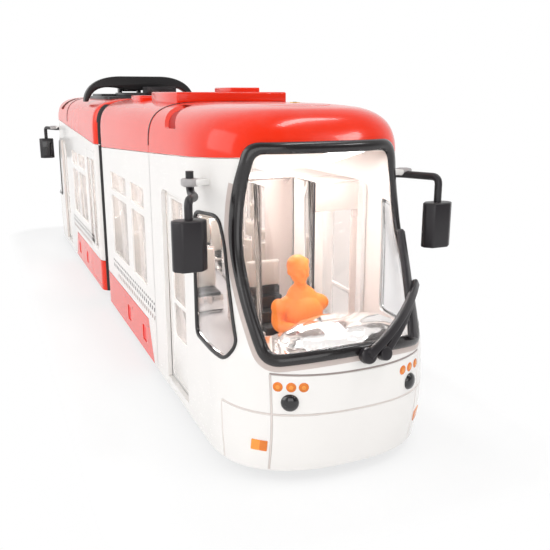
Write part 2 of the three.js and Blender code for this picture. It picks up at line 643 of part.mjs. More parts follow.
// Two banks of seats, as many rows as fit before the cab's doors, joined by rails.
function seats() {
  const low = ON_FLOOR;
  const { depth, height, back, backHeight, rail, pitch } = SEAT;
  const last = DOORWAY.from - depth;
  const outer = SIDE - SEAT_SIDE_ROOM;
  const rows = [];
  for (let x = FIRST_SEAT; x <= last; x += pitch) rows.push(x);
  const pieces = [box([FIRST_SEAT, FIRST_SEAT + back], [-outer, outer], [low, low + rail])];
  for (const side of [1, -1]) {
    const y = [side * AISLE_HALF, side * outer];
    pieces.push(box([FIRST_SEAT, rows.at(-1) + depth], y, [low, low + rail]));
    for (const x of rows) {
      pieces.push(box([x, x + depth], y, [low, low + height]));
      pieces.push(box([x, x + back], y, [low, low + backHeight]));
    }
  }
  return union(pieces);
}

// Clear screen round the back of the driver's place: three walls, open towards the nose.
function cabScreen() {
  const { from, to, half, wall, high } = SCREEN_BOX;
  const outer = box([from, to], [-half, half], [ON_FLOOR, high]);
  const room = box([from + wall, to + PAST], [wall - half, half - wall], [0, high + PAST]);
  return outer.subtract(room);
}

function desk() {
  const { from, top, half } = DESK;
  const block = box([from, FAR], [-half, half], [ON_FLOOR, top]);
  const dome = solid(new THREE.SphereGeometry(1, 14, 6)
    .scale(DESK_DOME.length, DESK_DOME.half, DESK_DOME.crown)
    .translate(DESK_DOME.x, 0, top - DESK_DOME.sink));
  return block.add(dome).intersect(form(WALL + FIT, 0));
}

function driver() {
  const { x, shoulder } = DRIVER;
  const ball = (size, at) => solid(new THREE.SphereGeometry(1, 10, 7)
    .rotateX(Math.PI / 2)
    .scale(...size)
    .translate(...at));
  const { back, front, half, height } = DRIVER_SEAT;
  const seat = box([x - back, x + front], [-half, half], [ON_FLOOR, ON_FLOOR + height]);
  const torsoTop = shoulder + DRIVER_TORSO.above;
  const torsoMiddle = (torsoTop + ON_FLOOR + DRIVER_TORSO.offSeat) / 2;
  const torso = ball([...DRIVER_TORSO.size, torsoTop - torsoMiddle], [x, 0, torsoMiddle]);
  const shoulders = ball(DRIVER_SHOULDERS.size, [x, 0, shoulder - DRIVER_SHOULDERS.under]);
  const face = shoulder + DRIVER_HEAD.above;
  const head = ball(DRIVER_HEAD.size, [x + DRIVER_HEAD.forward, 0, face]);
  const neck = rod(DRIVER_NECK.radius, shoulder - DRIVER_NECK.under, face, x, 0);
  const arms = [1, -1].map((side) => bentRod(
    DRIVER_ARM.path.map(([ahead, out, up]) => [x + ahead, side * out, shoulder + up]),
    DRIVER_ARM.radius,
  ));
  return union([seat, torso, shoulders, neck, head, ...arms]);
}

// ---- Outside fittings ---------------------------------------------------------------------
function mirror(side) {
  const { x, y, high, height, length, width, corner, armZ } = MIRROR;
  const pin = MIRROR_PIN;
  const arm = bentRod([
    [pin.x, side * pin.y, LUG.high + pin.above],
    [pin.x, side * pin.y, armZ + 2],
    [pin.x + 2, side * (pin.y + 0.3), armZ],
    [pin.x + 8, side * (pin.y + 2), armZ],
    [x - 2, side * (y - 1), armZ],
    [x, side * y, armZ - 2.2],
    [x, side * y, high - 1],
  ], pin.radius);
  const across = [side * y - width / 2, side * y + width / 2];
  const outline = rectangle([x - length / 2, x + length / 2], across, corner);
  return arm.add(prism('z', outline, high - height, high));
}

// Lies on the glass: two arms from two hubs to one upright blade.
function wiper() {
  const { hubs, joint, blade, armRadius, hubRadius, hubDepth } = WIPER;
  const pieces = hubs.map(([y, z]) => {
    const x = faceX(y, z) + GASKET_PROUD + FIT;
    const round = new THREE.Shape().absarc(y, z, hubRadius, 0, Math.PI * 2);
    return prism('x', round, x, x + hubDepth, 6);
  });
  for (const hub of hubs) pieces.push(rodOverNose(hub, joint, armRadius));
  pieces.push(rodOverNose(blade[0], joint, armRadius), rodOverNose(joint, blade[1], armRadius));
  return union(pieces);
}

// A rod that follows the nose's curve from one place to another, a little in front of it.
function rodOverNose(from, to, radius) {
  const points = [0, 0.35, 0.7, 1].map((share) => {
    const [y, z] = [from[0] + (to[0] - from[0]) * share, from[1] + (to[1] - from[1]) * share];
    return [faceX(y, z) + WIPER.lift, y, z];
  });
  return bentRod(points, radius, 6);
}

// X of the car's outer face at a place on its nose.
function faceX(y, z) {
  const { back, run, power } = noseAt(z);
  const tip = NOSE_REACH - back;
  const half = z > CANT_HEIGHT ? roofHalfWidth(z) : SIDE;
  const start = tip - run;
  return start + run * (1 - Math.min(1, Math.abs(y) / half) ** power) ** (1 / power);
}

// Y of the car's outer face at a place along its side, below the roof.
function faceY(x, z) {
  const { back, run, power } = noseAt(z);
  const along = Math.max(0, x - (NOSE_REACH - back - run)) / run;
  return SIDE * (1 - along ** power) ** (1 / power);
}

function roofHalfWidth(z) {
  const up = Math.min(1, (z - CANT_HEIGHT) / SHOULDER_RISE);
  return SIDE * (1 - up ** SHOULDER_POWER) ** (1 / SHOULDER_POWER);
}

// ---- Roof gear ------------------------------------------------------------------------------
// A box that stands on the curved roof, its underside cut to the roof's form.
function roofBox({ from, to, high }) {
  const block = box([from, to], [-ROOF_GEAR_HALF, ROOF_GEAR_HALF], [CANT_HEIGHT, high]);
  return block.subtract(form(-FIT));
}

function pantographBase() {
  const { from, length, y, high } = INSULATORS;
  const base = PANTOGRAPH_BASE.high - PAST;
  const insulators = box([from, from + length], y, [base, high]);
  const inner = ARM.knuckleHalf + FIT;
  const ears = [1, -1].map((side) => box(
    [ARM.pivotX - EAR.length / 2, ARM.pivotX + EAR.length / 2],
    [side * inner, side * (inner + EAR.width)],
    [base, EAR.high],
  ));
  return union([roofBox(PANTOGRAPH_BASE), insulators, ...ears]);
}

// Arched collector and the arm below it, as one sprung frame. One half of the arch is drawn
// from its foot to the middle, and the other mirrors it.
function pantographBow() {
  const { x, half, foot, top, thickness, depth, flat, shoulder, drop, web, throat } = BOW;
  const shape = new THREE.Shape();
  shape.moveTo(-half, foot);
  shape.bezierCurveTo(1 - half, top - drop, shoulder - half, top, -half * flat, top);
  shape.lineTo(half * flat, top);
  shape.bezierCurveTo(half - shoulder, top, half - 1, top - drop, half, foot);
  shape.lineTo(half - thickness, foot);
  shape.bezierCurveTo(half - throat, top - throat, half - shoulder, top - web, throat, ARM.low);
  shape.lineTo(-throat, ARM.low);
  shape.bezierCurveTo(shoulder - half, top - web, throat - half, top - throat, thickness - half, foot);
  const arch = prism('x', shape, x - depth / 2, x + depth / 2, 6);
  const arm = box([ARM.pivotX, x], [-ARM.half, ARM.half], [ARM.low, ARM.low + ARM.height]);
  const middle = ARM.low + ARM.height / 2;
  const knuckle = rod(ARM.knuckle, -ARM.knuckleHalf, ARM.knuckleHalf, ARM.pivotX, middle, 'y');
  return union([arch, arm, knuckle]);
}

// ---- Between the cars -----------------------------------------------------------------------
function bellows() {
  const { half, low, high, folds, depth, wall } = BELLOWS;
  const reach = JOINT_REACH - FIT;
  const pitch = (2 * reach) / folds;
  const outline = (y) => Array.from({ length: 2 * folds + 1 }, (_, i) => [
    -reach + i * pitch / 2,
    y - (i % 2 ? depth : 0),
  ]);
  const left = outline(half);
  const right = left.map(([x, y]) => [x, -y]).reverse();
  const inner = half - wall;
  const gangway = box([-JOINT_REACH, JOINT_REACH], [-inner, inner], [low + wall, high - wall]);
  return prism('z', polygon([...left.reverse(), ...right.reverse()]), low, high).subtract(gangway);
}

// ---- Assembly -------------------------------------------------------------------------------
const tram = new THREE.Group();

function place(parent, name, finish, body) {
  const mesh = body.getMesh();
  const geometry = new THREE.BufferGeometry();
  geometry.setAttribute('position', new THREE.BufferAttribute(new Float32Array(mesh.vertProperties), 3));
  geometry.setIndex(new THREE.BufferAttribute(new Uint32Array(mesh.triVerts), 1));
  geometry.computeVertexNormals();
  const part = new THREE.Mesh(geometry, new THREE.MeshStandardMaterial(FINISH[finish]));
  part.name = name;
  parent.add(part);
}

function car(name, tongue) {
  const group = new THREE.Group();
  const put = (part, finish, body) => place(group, `${name}_${part}`, finish, body);
  put('chassis', 'black', chassis(tongue));
  AXLES.forEach((x, i) => put(`wheelset_${i + 1}`, 'darkGrey', wheelset(x)));
  put('floor', 'lightGrey', floorPan());
  put('seats', 'black', seats());
  put('cab_screen', 'clear', cabScreen());
  put('desk', 'white', desk());
  put('body_shell', 'white', bodyShell());
  put('body_roof', 'red', bodyRoof());
  put('skirt', 'red', skirt());
  put('cab_shell', 'white', cabShell());
  put('cab_roof', 'red', cabRoof());
  put('windscreen', 'clear', windscreen());
  put('windscreen_gasket', 'black', windscreenGasket());
  put('wiper', 'black', wiper());
  for (const [word, side] of [['left', 1], ['right', -1]]) {
    put(`windows_${word}`, 'clear', sideGlazing(side));
    put(`cab_window_${word}`, 'clear', cabGlazing(side));
    put(`cab_door_${word}`, 'white', cabDoor(side));
    put(`mirror_${word}`, 'black', mirror(side));
  }
  return group;
}

const front = car('front', eyeTongue());
place(front, 'front_driver', 'orange', driver());
place(front, 'front_roof_box', 'red', roofBox(ROOF_BOX).add(box(
  [ROOF_BOX_LID.from, ROOF_BOX_LID.to],
  ROOF_BOX_LID.y,
  [ROOF_BOX.high - PAST, ROOF_BOX_LID.high],
)));
place(front, 'front_roof_block', 'red', roofBox(ROOF_BLOCK));
tram.add(front);

const rear = car('rear', pinTongue());
place(rear, 'rear_pantograph_base', 'darkGrey', pantographBase());
place(rear, 'rear_pantograph', 'black', pantographBow());
rear.rotation.z = Math.PI;
tram.add(rear);

place(tram, 'bellows', 'black', bellows());

export default tram;
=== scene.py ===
# Looks of the articulated toy tram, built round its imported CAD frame. Lengths are millimetres
# in a car's own frame, X from the joint to the nose, until put() turns them into metres.
from math import asin, cos, pi, radians, sin

import bmesh
import bpy
from mathutils import Matrix, Vector

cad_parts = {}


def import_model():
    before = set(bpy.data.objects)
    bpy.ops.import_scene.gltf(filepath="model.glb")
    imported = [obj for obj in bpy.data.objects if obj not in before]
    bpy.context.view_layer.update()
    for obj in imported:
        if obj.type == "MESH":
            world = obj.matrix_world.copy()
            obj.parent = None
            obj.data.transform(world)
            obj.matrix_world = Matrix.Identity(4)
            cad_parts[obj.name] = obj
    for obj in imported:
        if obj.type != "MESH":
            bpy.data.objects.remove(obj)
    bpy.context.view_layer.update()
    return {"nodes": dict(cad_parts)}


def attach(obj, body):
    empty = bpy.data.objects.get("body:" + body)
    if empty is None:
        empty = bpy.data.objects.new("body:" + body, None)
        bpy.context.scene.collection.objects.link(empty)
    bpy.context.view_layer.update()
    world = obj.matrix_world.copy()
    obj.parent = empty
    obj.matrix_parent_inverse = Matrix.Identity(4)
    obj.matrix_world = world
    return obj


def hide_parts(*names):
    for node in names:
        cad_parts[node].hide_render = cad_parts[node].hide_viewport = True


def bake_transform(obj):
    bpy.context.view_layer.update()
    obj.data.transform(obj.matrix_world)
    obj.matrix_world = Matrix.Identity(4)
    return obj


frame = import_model()

# ---- The car's form ----
JOINT_REACH = 8.0
SEAM_X = 123.3
NOSE_REACH = 230.0
SIDE = 37.0
BODY_BOTTOM = 4.0
CANT = 92.0
ROOF_EDGE = 96.0
CROWN = 115.6
SHOULDER_POWER = 4.6
RED_EDGE_SLOPE = 0.05
END_CORNER = 6.0
WALL = 1.6
FIT = 0.3
SKIRT_TOP = 22.0
# Half the width and the top of the joint end's black painted shade, within its coloured rim.
SHADED_END_HALF, SHADED_END_TOP = 34.8, 112.6
# A place within the car that its skins face away from.
MIDDLE = Vector((120, 0, 60))
# The part of the car's middle line that linings look towards, and how squarely they do.
LINED_X, LINED_Z, LINED_FACING = (30, 150), (20, 92), -0.35
# Height, how far the nose stands back, how long its curve runs, and its power.
NOSE = (
    (4, 4.6, 32, 2.5), (16, 1.8, 32, 2.5), (28, 0.3, 33, 2.4), (38, 0, 34, 2.3),
    (46, 1.8, 35, 2.1), (60, 7.2, 35, 2), (73, 12.2, 36, 1.9), (84, 16.4, 38, 2.1),
    (92, 19.6, 40, 2.4), (104.6, 24.6, 46, 3.4), (110, 27.6, 50, 3.6), (114, 32.5, 54, 3.5),
    (115.6, 44, 68, 3.4),
)


def within(value, low, high):
    return min(max(value, low), high)


def lerp(a, b, t):
    return a + (b - a) * t


def slopes_of(column):
    steps = [(b[column] - a[column]) / (b[0] - a[0]) for a, b in zip(NOSE, NOSE[1:])]
    inner = [0 if a * b <= 0 else 2 * a * b / (a + b) for a, b in zip(steps, steps[1:])]
    return [steps[0], *inner, steps[-1]]


NOSE_SLOPES = {column: slopes_of(column) for column in (1, 2, 3)}


def nose_at(z):
    z = within(z, NOSE[0][0], NOSE[-1][0])
    i = max(1, next(i for i, row in enumerate(NOSE) if row[0] >= z))
    low, high = NOSE[i - 1], NOSE[i]
    width = high[0] - low[0]
    t = (z - low[0]) / width
    out = []
    for column in (1, 2, 3):
        start, end = NOSE_SLOPES[column][i - 1] * width, NOSE_SLOPES[column][i] * width
        out.append((2 * t ** 3 - 3 * t ** 2 + 1) * low[column] + (t ** 3 - 2 * t ** 2 + t) * start
                   + (3 * t ** 2 - 2 * t ** 3) * high[column] + (t ** 3 - t ** 2) * end)
    return out


def half_at(z):
    up = within((z - CANT) / (CROWN - CANT), 0.0, 1.0)
    return SIDE * (1 - up ** SHOULDER_POWER) ** (1 / SHOULDER_POWER)


def face_x(y, z):
    back, run, power = nose_at(z)
    across = min(1.0, abs(y) / max(half_at(z), 1e-6))
    return NOSE_REACH - back - run + run * (1 - across ** power) ** (1 / power)


def face_y(x, z):
    back, run, power = nose_at(z)
    along = within((x - NOSE_REACH + back + run) / run, 0.0, 1.0)
    return half_at(z) * (1 - along ** power) ** (1 / power)


# Height of the roof over a place, found by halving: the form holds the place below it only.
def top_z(x, y):
    low, high = ROOF_EDGE - 10, CROWN
    for _ in range(36):
        middle = (low + high) / 2
        if abs(y) <= half_at(middle) and face_x(y, middle) >= x:
            low = middle
        else:
            high = middle
    return low


def with_normal(place, u, w, step=0.15):
    here = Vector(place(u, w))
    along = Vector(place(u + step, w)) - Vector(place(u - step, w))
    up = Vector(place(u, w + step)) - Vector(place(u, w - step))
    normal = along.cross(up).normalized()
    return here, normal


def on_nose(y, z):
    here, normal = with_normal(lambda u, w: (face_x(u, w), u, w), y, z)
    return here, normal if normal.x > 0 else -normal


def on_side(x, z, side):
    here, normal = with_normal(lambda u, w: (u, side * face_y(u, w), w), x, z)
    return here, normal if normal.y * side > 0 else -normal


def on_roof(x, y):
    here, normal = with_normal(lambda u, w: (u, w, top_z(u, w)), x, y)
    return here, normal if normal.z > 0 else -normal


# ---- Shapes ----
# A grid laid over any surface: where() gives the place for two shares between 0 and 1.
def patch(across, up, where):
    bm = bmesh.new()
    bmesh.ops.create_grid(bm, x_segments=across, y_segments=up, size=1)
    for vert in bm.verts:
        vert.co = Vector(where((vert.co.x + 1) / 2, (vert.co.y + 1) / 2))
    bmesh.ops.remove_doubles(bm, verts=bm.verts, dist=1e-3)
    bmesh.ops.dissolve_degenerate(bm, dist=1e-4, edges=bm.edges)
    return bm


def faced(bm):
    bmesh.ops.recalc_face_normals(bm, faces=bm.faces)
    return bm


def outwards(bm, middle=MIDDLE):
    faced(bm)
    middle = Vector(middle)
    facing = sum(f.normal.dot(f.calc_center_median() - middle) * f.calc_area() for f in bm.faces)
    if facing < 0:
        bmesh.ops.reverse_faces(bm, faces=bm.faces)
    return bm


def prism(axis, outline, low, high):
    bm = bmesh.new()
    ring = bmesh.ops.create_circle(bm, cap_ends=True, segments=len(outline), radius=1)["verts"]
    for vert, (u, w) in zip(ring, outline):
        vert.co = {"x": (low, u, w), "y": (u, low, w), "z": (u, w, low)}[axis]
    top = bmesh.ops.extrude_face_region(bm, geom=bm.faces[:])["geom"]
    top = [item for item in top if isinstance(item, bmesh.types.BMVert)]
    far = high - low
    move = {"x": (far, 0, 0), "y": (0, far, 0), "z": (0, 0, far)}[axis]
    bmesh.ops.translate(bm, verts=top, vec=move)
    return faced(bm)


def side_prism(outline, side, low=21.0, high=60.0):
    return prism("y", outline, *sorted((side * low, side * high)))


def block(x, y, z, edge=0.4, segments=2):
    bm = bmesh.new()
    bmesh.ops.create_cube(bm, size=1)
    for vert in bm.verts:
        vert.co = [min(span) + (c + 0.5) * (max(span) - min(span))
                   for span, c in zip((x, y, z), vert.co)]
    return softened(bm, edge, segments) if edge else bm


def softened(bm, width, segments=2, angle=35):
    edges = [e for e in bm.edges if len(e.link_faces) == 2 and e.calc_face_angle() > radians(angle)]
    bmesh.ops.bevel(bm, geom=edges, offset=width, offset_type="OFFSET", segments=segments,
                    profile=0.5, affect="EDGES", clamp_overlap=True, material=-1)
    return bm


def ball(centre, size, turns=24, rings=14):
    bm = bmesh.new()
    bmesh.ops.create_uvsphere(bm, u_segments=turns, v_segments=rings, radius=1)
    for vert in bm.verts:
        vert.co = [c + v * s for c, v, s in zip(centre, vert.co, size)]
    return bm


# A profile of (along the axis, radius) pairs, turned about an axis along Y or Z.
def turned(profile, centre, axis="y", steps=40):
    def where(u, v):
        along, radius = profile[round(v * (len(profile) - 1))]
        angle = 2 * pi * u
        flat = (radius * cos(angle), radius * sin(angle))
        spot = {"y": (flat[0], along, flat[1]), "z": (*flat, along), "x": (along, *flat)}[axis]
        return [centre[i] + spot[i] for i in range(3)]
    return faced(patch(steps, len(profile) - 1, where))


# A ring of (across, up) pairs carried along a line of (place, normal) pairs.
def sweep(line, profile, closed=False):
    count, around = len(line), len(profile)
    spots = []
    for i, (here, normal) in enumerate(line):
        after = line[(i + 1) % count if closed else min(i + 1, count - 1)][0]
        before = line[i - 1 if closed else max(i - 1, 0)][0]
        along = (after - before).normalized()
        up = (normal - along * normal.dot(along)).normalized()
        across = up.cross(along)
        spots.append([here + across * a + up * b for a, b in profile])

    def where(u, v):
        i = round(u * (count if closed else count - 1)) % count
        return spots[i][round(v * around) % around]
    bm = patch(count if closed else count - 1, around, where)
    if not closed:
        bmesh.ops.holes_fill(bm, edges=[e for e in bm.edges if e.is_boundary])
    return faced(bm)


def round_profile(radius, count=10, flat=1.0):
    return [(radius * cos(2 * pi * i / count), flat * radius * sin(2 * pi * i / count))
            for i in range(count)]


# The line through given places, its corners turned into short curves, with a carried normal.
def bent(points, radius, steps=6):
    points = [Vector(point) for point in points]
    line = [points[0]]
    for before, here, after in zip(points, points[1:], points[2:]):
        reach = min(radius, (here - before).length / 2, (after - here).length / 2)
        start = here + (before - here).normalized() * reach
        end = here + (after - here).normalized() * reach
        for i in range(steps + 1):
            t = i / steps
            line.append(start * (1 - t) ** 2 + here * 2 * t * (1 - t) + end * t * t)
    line.append(points[-1])
    first = (line[1] - line[0]).normalized()
    normal = first.orthogonal().normalized()
    out = []
    for i, here in enumerate(line):
        along = (line[min(i + 1, len(line) - 1)] - line[max(i - 1, 0)]).normalized()
        normal = (normal - along * normal.dot(along)).normalized()
        out.append((here, normal.copy()))
    return out


def tube(points, radius, bend=2.0, count=12):
    return sweep(bent(points, bend), round_profile(radius, count))


def joined(*shapes):
    bm = bmesh.new()
    for shape in shapes:
        mesh = mesh_of("part", shape)
        bm.from_mesh(mesh)
        bpy.data.meshes.remove(mesh)
        shape.free()
    return bm


def mesh_of(name, shape):
    mesh = bpy.data.meshes.new(name)
    shape.to_mesh(mesh)
    return mesh


def placed(name, data):
    thing = bpy.data.objects.new(name, data)
    bpy.context.scene.collection.objects.link(thing)
    return thing


def temporary(shape):
    thing = placed("work", mesh_of("work", shape))
    shape.free()
    return thing


# Runs modifiers over a shape and gives back the result: wall thickness first, then the cuts.
def worked(shape, wall=0.0, cuts=(), keep=(), remesh=0.0, smooth=0):
    thing = temporary(shape)
    tools = []

    def modify(kind, **settings):
        modifier = thing.modifiers.new("work", kind)
        for name, value in settings.items():
            setattr(modifier, name, value)
    if wall:
        modify("SOLIDIFY", thickness=wall, offset=-1, use_even_offset=True)
    for operation, group in (("INTERSECT", keep), ("DIFFERENCE", cuts)):
        for cutter in group:
            tools.append(temporary(cutter))
            modify("BOOLEAN", operation=operation, solver="EXACT", object=tools[-1])
    if remesh:
        modify("REMESH", mode="VOXEL", voxel_size=remesh)
    if smooth:
        modify("SMOOTH", iterations=smooth)
    bpy.context.view_layer.update()
    ready = thing.evaluated_get(bpy.context.evaluated_depsgraph_get())
    mesh = bpy.data.meshes.new_from_object(ready)
    bm = bmesh.new()
    bm.from_mesh(mesh)
    old = [tool.data for tool in (*tools, thing)]
    for tool in (*tools, thing):
        bpy.data.objects.remove(tool)
    for data in (*old, mesh):
        bpy.data.meshes.remove(data)
    bmesh.ops.remove_doubles(bm, verts=bm.verts, dist=1e-3)
    bmesh.ops.dissolve_degenerate(bm, dist=1e-3, edges=bm.edges)
    return bm


# ---- Outlines ----
def curve(start, control, end, steps=8):
    out = []
    for i in range(steps + 1):
        t = i / steps
        out.append(tuple(start[k] * (1 - t) ** 2 + control[k] * 2 * t * (1 - t) + end[k] * t * t
                         for k in (0, 1)))
    return out


def rounded(points, radius, steps=6):
    out = []
    for i, here in enumerate(points):
        ends = []
        for other in (points[i - 1], points[(i + 1) % len(points)]):
            gap = (Vector(other) - Vector(here))
            ends.append(tuple(Vector(here) + gap.normalized() * min(radius, gap.length / 2.1)))
        out += curve(ends[0], here, ends[1], steps)
    return out


def rectangle(u, w, radius, steps=5):
    return rounded([(u[0], w[0]), (u[1], w[0]), (u[1], w[1]), (u[0], w[1])], radius, steps)


def resampled(outline, count):
    points = [Vector(point) for point in outline]
    points.append(points[0])
    lengths = [(b - a).length for a, b in zip(points, points[1:])]
    total, out, i, done = sum(lengths), [], 0, 0.0
    for k in range(count):
        want = total * k / count
        while done + lengths[i] < want:
            done += lengths[i]
            i += 1
        t = (want - done) / max(lengths[i], 1e-9)
        out.append(tuple(points[i].lerp(points[i + 1], t)))
    return out


# The screen's outline from the front, this far inside the gasket's outer edge. The gasket is
# narrower down its sides.
def screen_outline(inset, steps=14):
    top, low, middle = 104.6 - inset, 39.4 + inset * 1.08, (104.6 + 39.4) / 2
    side = inset * 0.78
    top_half, low_half, belly = 26.0 - side, 28.2 - side, 33.7 - side
    corner = 4.6 - side * 0.6
    top_side, low_side = top_half + corner * 0.22, low_half + corner * 0.12
    foot, crest = low + 0.6, low + 4.8
    left = curve((corner - top_half, top), (-top_half, top), (-top_side, top - corner), steps // 2)
    left += curve((-top_side, top - corner), (-belly, middle), (-low_side, low + corner), steps * 2)
    left += curve((-low_side, low + corner), (-low_half, low), (corner - low_half, foot), steps // 2)
    bottom = curve((corner - low_half, foot), (0, crest), (low_half - corner, foot), steps)
    clean = []
    for point in left + bottom + [(-y, z) for y, z in reversed(left)]:
        if not clean or (Vector(point) - Vector(clean[-1])).length > 1e-4:
            clean.append(point)
    return clean


# ---- Shared effects ----
# Feeds a node's inputs, named or numbered, with values or with the outputs of other nodes.
def feed(node, inputs):
    for label, value in inputs.items():
        if isinstance(value, bpy.types.NodeSocket):
            node.id_data.links.new(value, node.inputs[label])
        else:
            node.inputs[label].default_value = value


def add_node(tree, kind, inputs=None, **settings):
    node = tree.nodes.new("ShaderNode" + kind)
    for name, value in settings.items():
        setattr(node, name, value)
    feed(node, inputs or {})
    return node


# A group of nodes that takes a place and one amount, and gives out plain numbers.
def new_group(name, amount, usual, outputs):
    tree = bpy.data.node_groups.new(name, "ShaderNodeTree")
    tree.interface.new_socket(name="Vector", in_out="INPUT", socket_type="NodeSocketVector")
    for label, way in ((amount, "INPUT"), *[(label, "OUTPUT") for label in outputs]):
        socket = tree.interface.new_socket(name=label, in_out=way, socket_type="NodeSocketFloat")
        if way == "INPUT":
            socket.default_value = usual
    given = tree.nodes.new("NodeGroupInput").outputs
    return tree, given["Vector"], given[amount], tree.nodes.new("NodeGroupOutput")


def math_node(tree, operation, first, second=None, clamp=False):
    inputs = {0: first} if second is None else {0: first, 1: second}
    return add_node(tree, "Math", inputs, operation=operation, use_clamp=clamp).outputs[0]


def times(tree, first, second, clamp=False):
    return math_node(tree, "MULTIPLY", first, second, clamp)


def alignment(tree, first, second):
    return add_node(tree, "VectorMath", {0: first, 1: second},
                    operation="DOT_PRODUCT").outputs["Value"]


def noise_node(tree, vector, scale, detail=3.0, roughness=0.5):
    return add_node(tree, "TexNoise", {"Vector": vector, "Scale": scale, "Detail": detail,
                                       "Roughness": roughness}).outputs["Fac"]


def ramp_node(tree, value, low, high):
    return add_node(tree, "MapRange", {"Value": value, "From Min": low,
                                       "From Max": high}).outputs["Result"]


# Moulded plastic: soft clouding from the melt, orange peel and hairline scratches.
def moulding_group():
    tree, place, scale, out = new_group("Moulding", "Scale", 180.0, ("Mottle", "Height", "Polish"))
    clouds = noise_node(tree, place, times(tree, scale, 0.25), 3)
    peel = noise_node(tree, place, times(tree, scale, 6.0), 2)
    stretch = add_node(tree, "Mapping", {"Vector": place, "Scale": (0.15, 1.0, 1.4),
                                         "Rotation": (0.3, 0.5, 0.2)})
    hair = noise_node(tree, stretch.outputs["Vector"], times(tree, scale, 22.0), 1)
    scratch = ramp_node(tree, hair, 0.66, 0.72)
    feed(out, {"Mottle": ramp_node(tree, clouds, 0.3, 0.7),
               "Height": math_node(tree, "SUBTRACT", peel, times(tree, scratch, 0.25)),
               "Polish": math_node(tree, "ADD", clouds, times(tree, scratch, 0.5))})
    return tree


# Dust that settles where a face looks up, in uneven patches.
def dust_group():
    tree, place, amount, out = new_group("Dust", "Amount", 0.1, ["Mask"])
    facing = add_node(tree, "NewGeometry").outputs["Normal"]
    up = ramp_node(tree, add_node(tree, "SeparateXYZ", {"Vector": facing}).outputs["Z"], 0.2, 1.0)
    patches = ramp_node(tree, noise_node(tree, place, 95.0, 5, 0.65), 0.42, 0.75)
    feed(out, {"Mask": times(tree, times(tree, up, patches), amount, clamp=True)})
    return tree


# Where an edge turns sharply, rubbed a little by hands and lightened as a painted highlight.
def edge_wear_and_highlight_group():
    tree, place, amount, out = new_group("Rubbed and highlit edges", "Amount", 0.2, ["Mask"])
    bevel = add_node(tree, "Bevel", {"Radius": 0.0004}, samples=3).outputs["Normal"]
    turn = alignment(tree, bevel, add_node(tree, "NewGeometry").outputs["Normal"])
    turn = ramp_node(tree, turn, 0.995, 0.85)
    broken = ramp_node(tree, noise_node(tree, place, 700.0, 3), 0.35, 0.65)
    feed(out, {"Mask": times(tree, times(tree, turn, broken), amount, clamp=True)})
    return tree


MOULDING, DUST, EDGES = moulding_group(), dust_group(), edge_wear_and_highlight_group()


# ---- Materials ----
BUMP_DEPTH = 0.0001
DUST_AMOUNT, DUST_COLOUR = 0.06, (214, 208, 198)


def linear(colour):
    def one(c):
        c = c / 255
        return c / 12.92 if c <= 0.04045 else ((c + 0.055) / 1.055) ** 2.4
    return (*[one(c) for c in colour], 1.0)


# A colour times a share, with some white added.
def shaded(colour, share, white=0.0):
    return (*[min(1.0, c * share + white) for c in colour[:3]], 1.0)


def add_group(tree, group, vector, **values):
    return add_node(tree, "Group", {"Vector": vector, **values}, node_tree=group).outputs


def mixed(tree, share, first, second):
    return add_node(tree, "Mix", {"Factor": share, "A": first, "B": second},
                    data_type="RGBA").outputs["Result"]


def moulded_bump(tree, moulding, strength):
    return add_node(tree, "Bump", {"Strength": strength, "Distance": BUMP_DEPTH,
                                   "Height": moulding["Height"]}).outputs["Normal"]


# Ends a material in two surfaces, the second in place of the first by the given share.
def end_in_both(tree, share, first, second):
    mix = add_node(tree, "MixShader", {"Fac": share, 1: first, 2: second})
    end = next(node for node in tree.nodes if node.type == "OUTPUT_MATERIAL")
    feed(end, {"Surface": mix.outputs["Shader"]})


def start_material(name):
    look = bpy.data.materials.new(name)
    look.use_nodes = True
    tree = look.node_tree
    shader = next(node for node in tree.nodes if node.type == "BSDF_PRINCIPLED")
    return look, tree, shader, add_node(tree, "TexCoord").outputs["Object"]


def plastic(name, colour, roughness=0.3, coat=0.0, shade=0.9, grain=0.1, wear_and_highlight=0.1, scale=180.0,
            mottle=0.5, metallic=0.0, specular=0.5):
    look, tree, shader, place = start_material(name)
    base = linear(colour)
    moulding = add_group(tree, MOULDING, place, Scale=scale)
    settled = add_group(tree, DUST, place, Amount=DUST_AMOUNT)["Mask"]
    rubbed_and_highlit = add_group(tree, EDGES, place, Amount=wear_and_highlight)["Mask"]
    body = mixed(tree, times(tree, moulding["Mottle"], mottle), base, shaded(base, shade))
    # Sharp edges turn lighter: rubbed wear and a painted highlight.
    body = mixed(tree, rubbed_and_highlit, body, shaded(base, 0.75, 0.22))
    gloss = times(tree, moulding["Polish"], roughness * 0.5)
    gloss = math_node(tree, "ADD", gloss, roughness * 0.75)
    feed(shader, {
        "Base Color": mixed(tree, settled, body, linear(DUST_COLOUR)),
        "Roughness": math_node(tree, "ADD", gloss, times(tree, settled, 0.4), clamp=True),
        "Normal": moulded_bump(tree, moulding, grain), "Metallic": metallic,
        "Specular IOR Level": specular, "Coat Weight": coat, "Coat Roughness": 0.05})
    return look


# Clear moulded plastic. It lets light through to what stands behind it.
def clear(name, colour, roughness=0.03, amount=1.0, passing=0.95, ior=1.46):
    look, tree, shader, place = start_material(name)
    moulding = add_group(tree, MOULDING, place, Scale=60.0)
    base = linear(colour)
    gloss = times(tree, moulding["Mottle"], roughness)
    feed(shader, {"Base Color": mixed(tree, moulding["Mottle"], base, shaded(base, 0.96)),
                  "Roughness": math_node(tree, "ADD", gloss, roughness),
                  "Normal": moulded_bump(tree, moulding, 0.03), "Transmission Weight": amount,
                  "IOR": ior})
    passes = add_node(tree, "BsdfTransparent", {"Color": (passing, passing, passing, 1.0)})
    end_in_both(tree, add_node(tree, "LightPath").outputs["Is Shadow Ray"], shader.outputs["BSDF"],
                passes.outputs["BSDF"])
    return look


